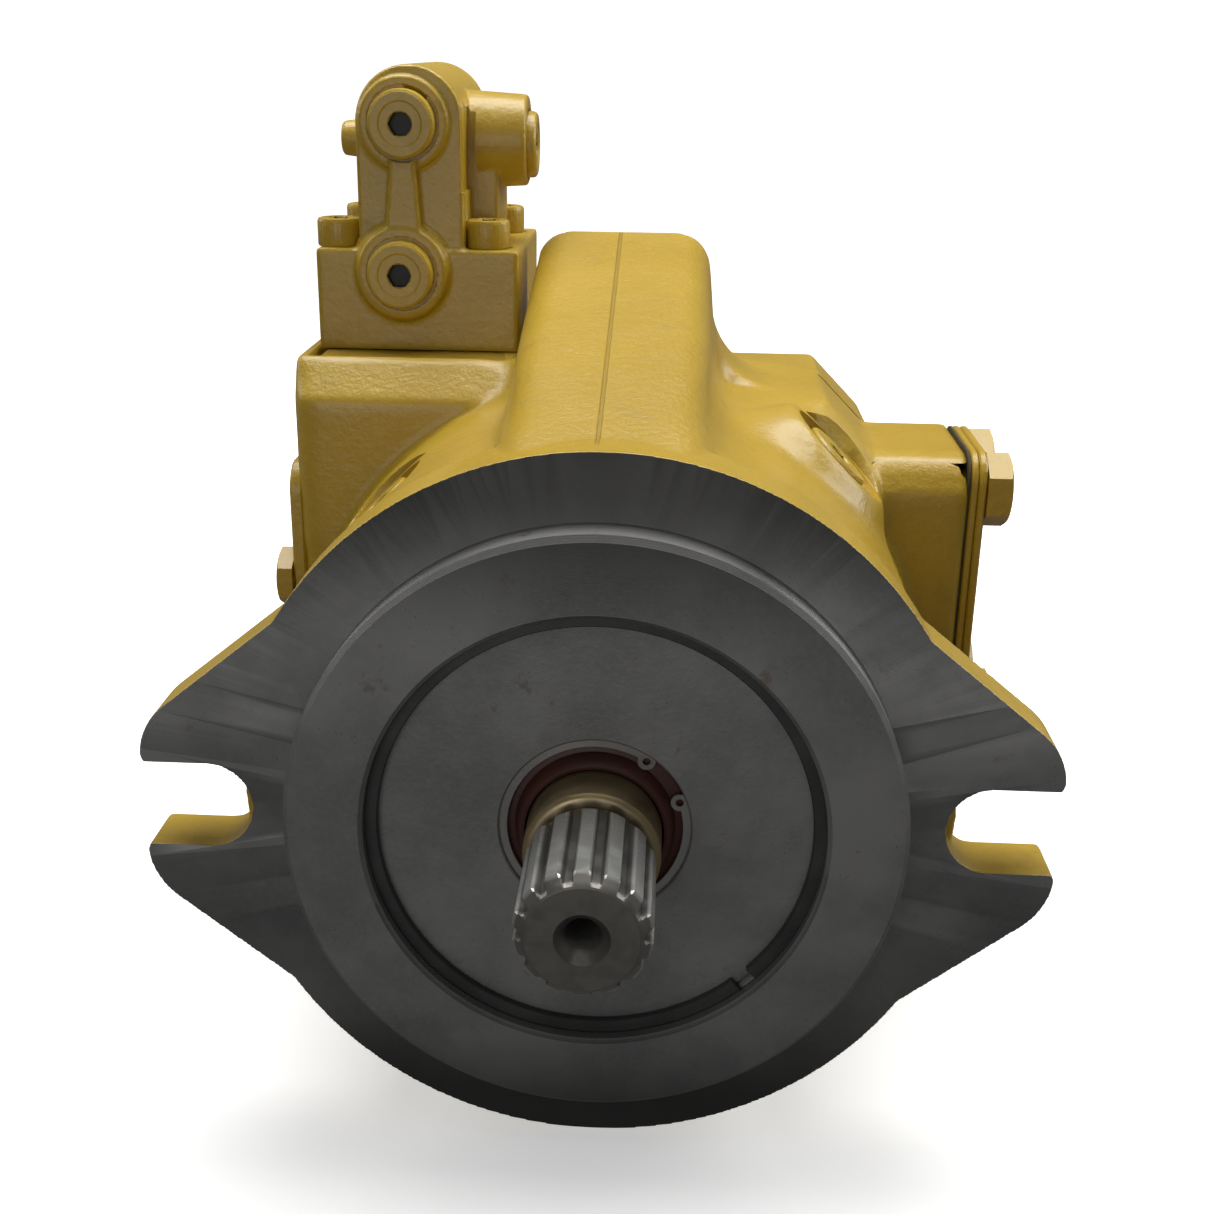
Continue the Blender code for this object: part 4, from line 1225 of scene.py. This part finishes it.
wear(housing, "housing_finish")
for thing in (valve, cover, *painted, *plates):
    wear(thing, "ochre_paint")
wear(bpy.data.objects["right_gasket"], "gasket_fibre")
wear(shaft, "shaft_steel")
wear(carrier, "carrier_iron")
wear(snap_ring, "dark_steel")
wear(spring, "dark_steel")
wear(seal, "brown_rubber")
wear(circlip, "bright_steel")
slots = {part["node"]: part["material_slot"] for part in frame["record"]["subparts"]}
for node, thing in frame["nodes"].items():
    for slot in thing.material_slots:
        slot.material = FINISHES[slots[node]]

# %% [markdown]
# ## Floor
# The pump stands on a pale studio floor that rises into a wall all round, so that no horizon
# shows from any side. A plane with a backdrop would do for one camera, but a bowl works for all
# of them. The floor glows a little, more so far away, and it is kept out of reflections and
# bounced light.

# %% Pale floor
FLOOR_REACH, SWEEP, WALL = 3000, 1500, 4000


def studio_floor():
    """A round floor whose edge sweeps up into a wall."""
    form = bmesh.new()
    level = cad_low.z / MM - 0.6
    outline = [(0.001, level), (FLOOR_REACH, level)] + [
        (FLOOR_REACH + SWEEP * math.sin(t), level + SWEEP * (1 - math.cos(t)))
        for t in [math.pi / 2 * i / 16 for i in range(1, 17)]
    ]
    outline += [(FLOOR_REACH + SWEEP, level + WALL)]
    rings = []
    for radius, height in outline:
        rings.append([
            (radius * math.cos(a), radius * math.sin(a), height)
            for a in [2 * math.pi * i / 96 for i in range(96)]
        ])
    skin(form, rings, capped=False)
    return object_from(form, "studio_floor")


floor = studio_floor()
mix = Recipe("pale_floor")
away = (mix.x**2 + mix.y**2) ** 0.5
glow = mix.mixed(away.above(150, 500), rgb(0.45, 0.45, 0.45), rgb(1.0, 1.0, 1.0))
pale = rgb(0.85, 0.85, 0.84)
floor.data.materials.append(
    mix.to(Base_Color=pale, Roughness=0.9, Emission_Color=glow, Emission_Strength=1.0)
)
floor.visible_diffuse = False
floor.visible_glossy = False
print("floor at z in mm:", round(cad_low.z / MM - 0.6, 1))

# %% [markdown]
# ## Light
# Gloss paint shows the shape of its lights, so they are wide. The strongest hangs above and a
# little behind, which leaves the front face in shade. Two fill the flanks, one the front, and a
# narrow strip above the front puts a line of light on the turned edges of the pilot.

# %% Soft lights
def soft_light(name, place, aim, size, power):
    light = bpy.data.lights.new(name, "AREA")
    light.shape = "RECTANGLE"
    light.size, light.size_y = size
    light.energy = power
    thing = bpy.data.objects.new(name, light)
    thing.location = place
    thing.rotation_euler = (Vector(aim) - Vector(place)).to_track_quat("-Z", "Y").to_euler()
    bpy.context.scene.collection.objects.link(thing)


soft_light("top_light", (0.0, 0.32, 1.05), (0, 0.08, 0), (1.3, 0.6), 17)
soft_light("front_fill", (-0.25, -1.3, 0.2), (0, 0.05, 0), (0.9, 0.7), 3.3)
soft_light("right_fill", (1.15, 0.5, 0.65), (0, 0.08, 0), (0.6, 0.8), 7)
soft_light("left_fill", (-1.1, 0.5, 0.65), (0, 0.08, 0), (0.6, 0.8), 3)
soft_light("edge_light", (0.0, -0.5, 1.15), (0, 0.0, 0), (1.2, 0.2), 0.7)
AIR_GLOW = 0.13
world = bpy.data.worlds.new("studio_air")
bpy.context.scene.world = world
world.use_nodes = True
world.node_tree.nodes["Background"].inputs["Color"].default_value = rgb(1, 1, 1)
world.node_tree.nodes["Background"].inputs["Strength"].default_value = AIR_GLOW
bpy.context.scene.view_settings.view_transform = "Standard"

# %% [markdown]
# ## Camera
# The camera stands close in front, a little above the valve, and looks down along the shaft. From
# so near, the flange looks much larger than the cover behind it. The small roll is the tilt of a
# camera held by hand, and the shift moves the frame without turning the view.

# %% Camera
CAMERA_AT = (15.8, -369.3, 179.4)
YAW, PITCH, ROLL = -0.0525, -0.3824, 0.0121
camera = bpy.data.objects.new("camera", bpy.data.cameras.new("camera"))
bpy.context.scene.collection.objects.link(camera)
bpy.context.scene.camera = camera
camera.data.sensor_width = 36
camera.data.lens = 48.72
camera.data.shift_x, camera.data.shift_y = 0.02, 0.08
camera.location = Vector(CAMERA_AT) * MM
gaze = Vector((math.sin(YAW) * math.cos(PITCH), math.cos(YAW) * math.cos(PITCH), math.sin(PITCH)))
camera.rotation_mode = "QUATERNION"
level_turn = gaze.to_track_quat("-Z", "Y")
camera.rotation_quaternion = level_turn @ Matrix.Rotation(ROLL, 3, "Z").to_quaternion()
camera.data.clip_start = 0.01
print("camera to the pilot's centre in mm:", round(Vector(CAMERA_AT).length, 1))
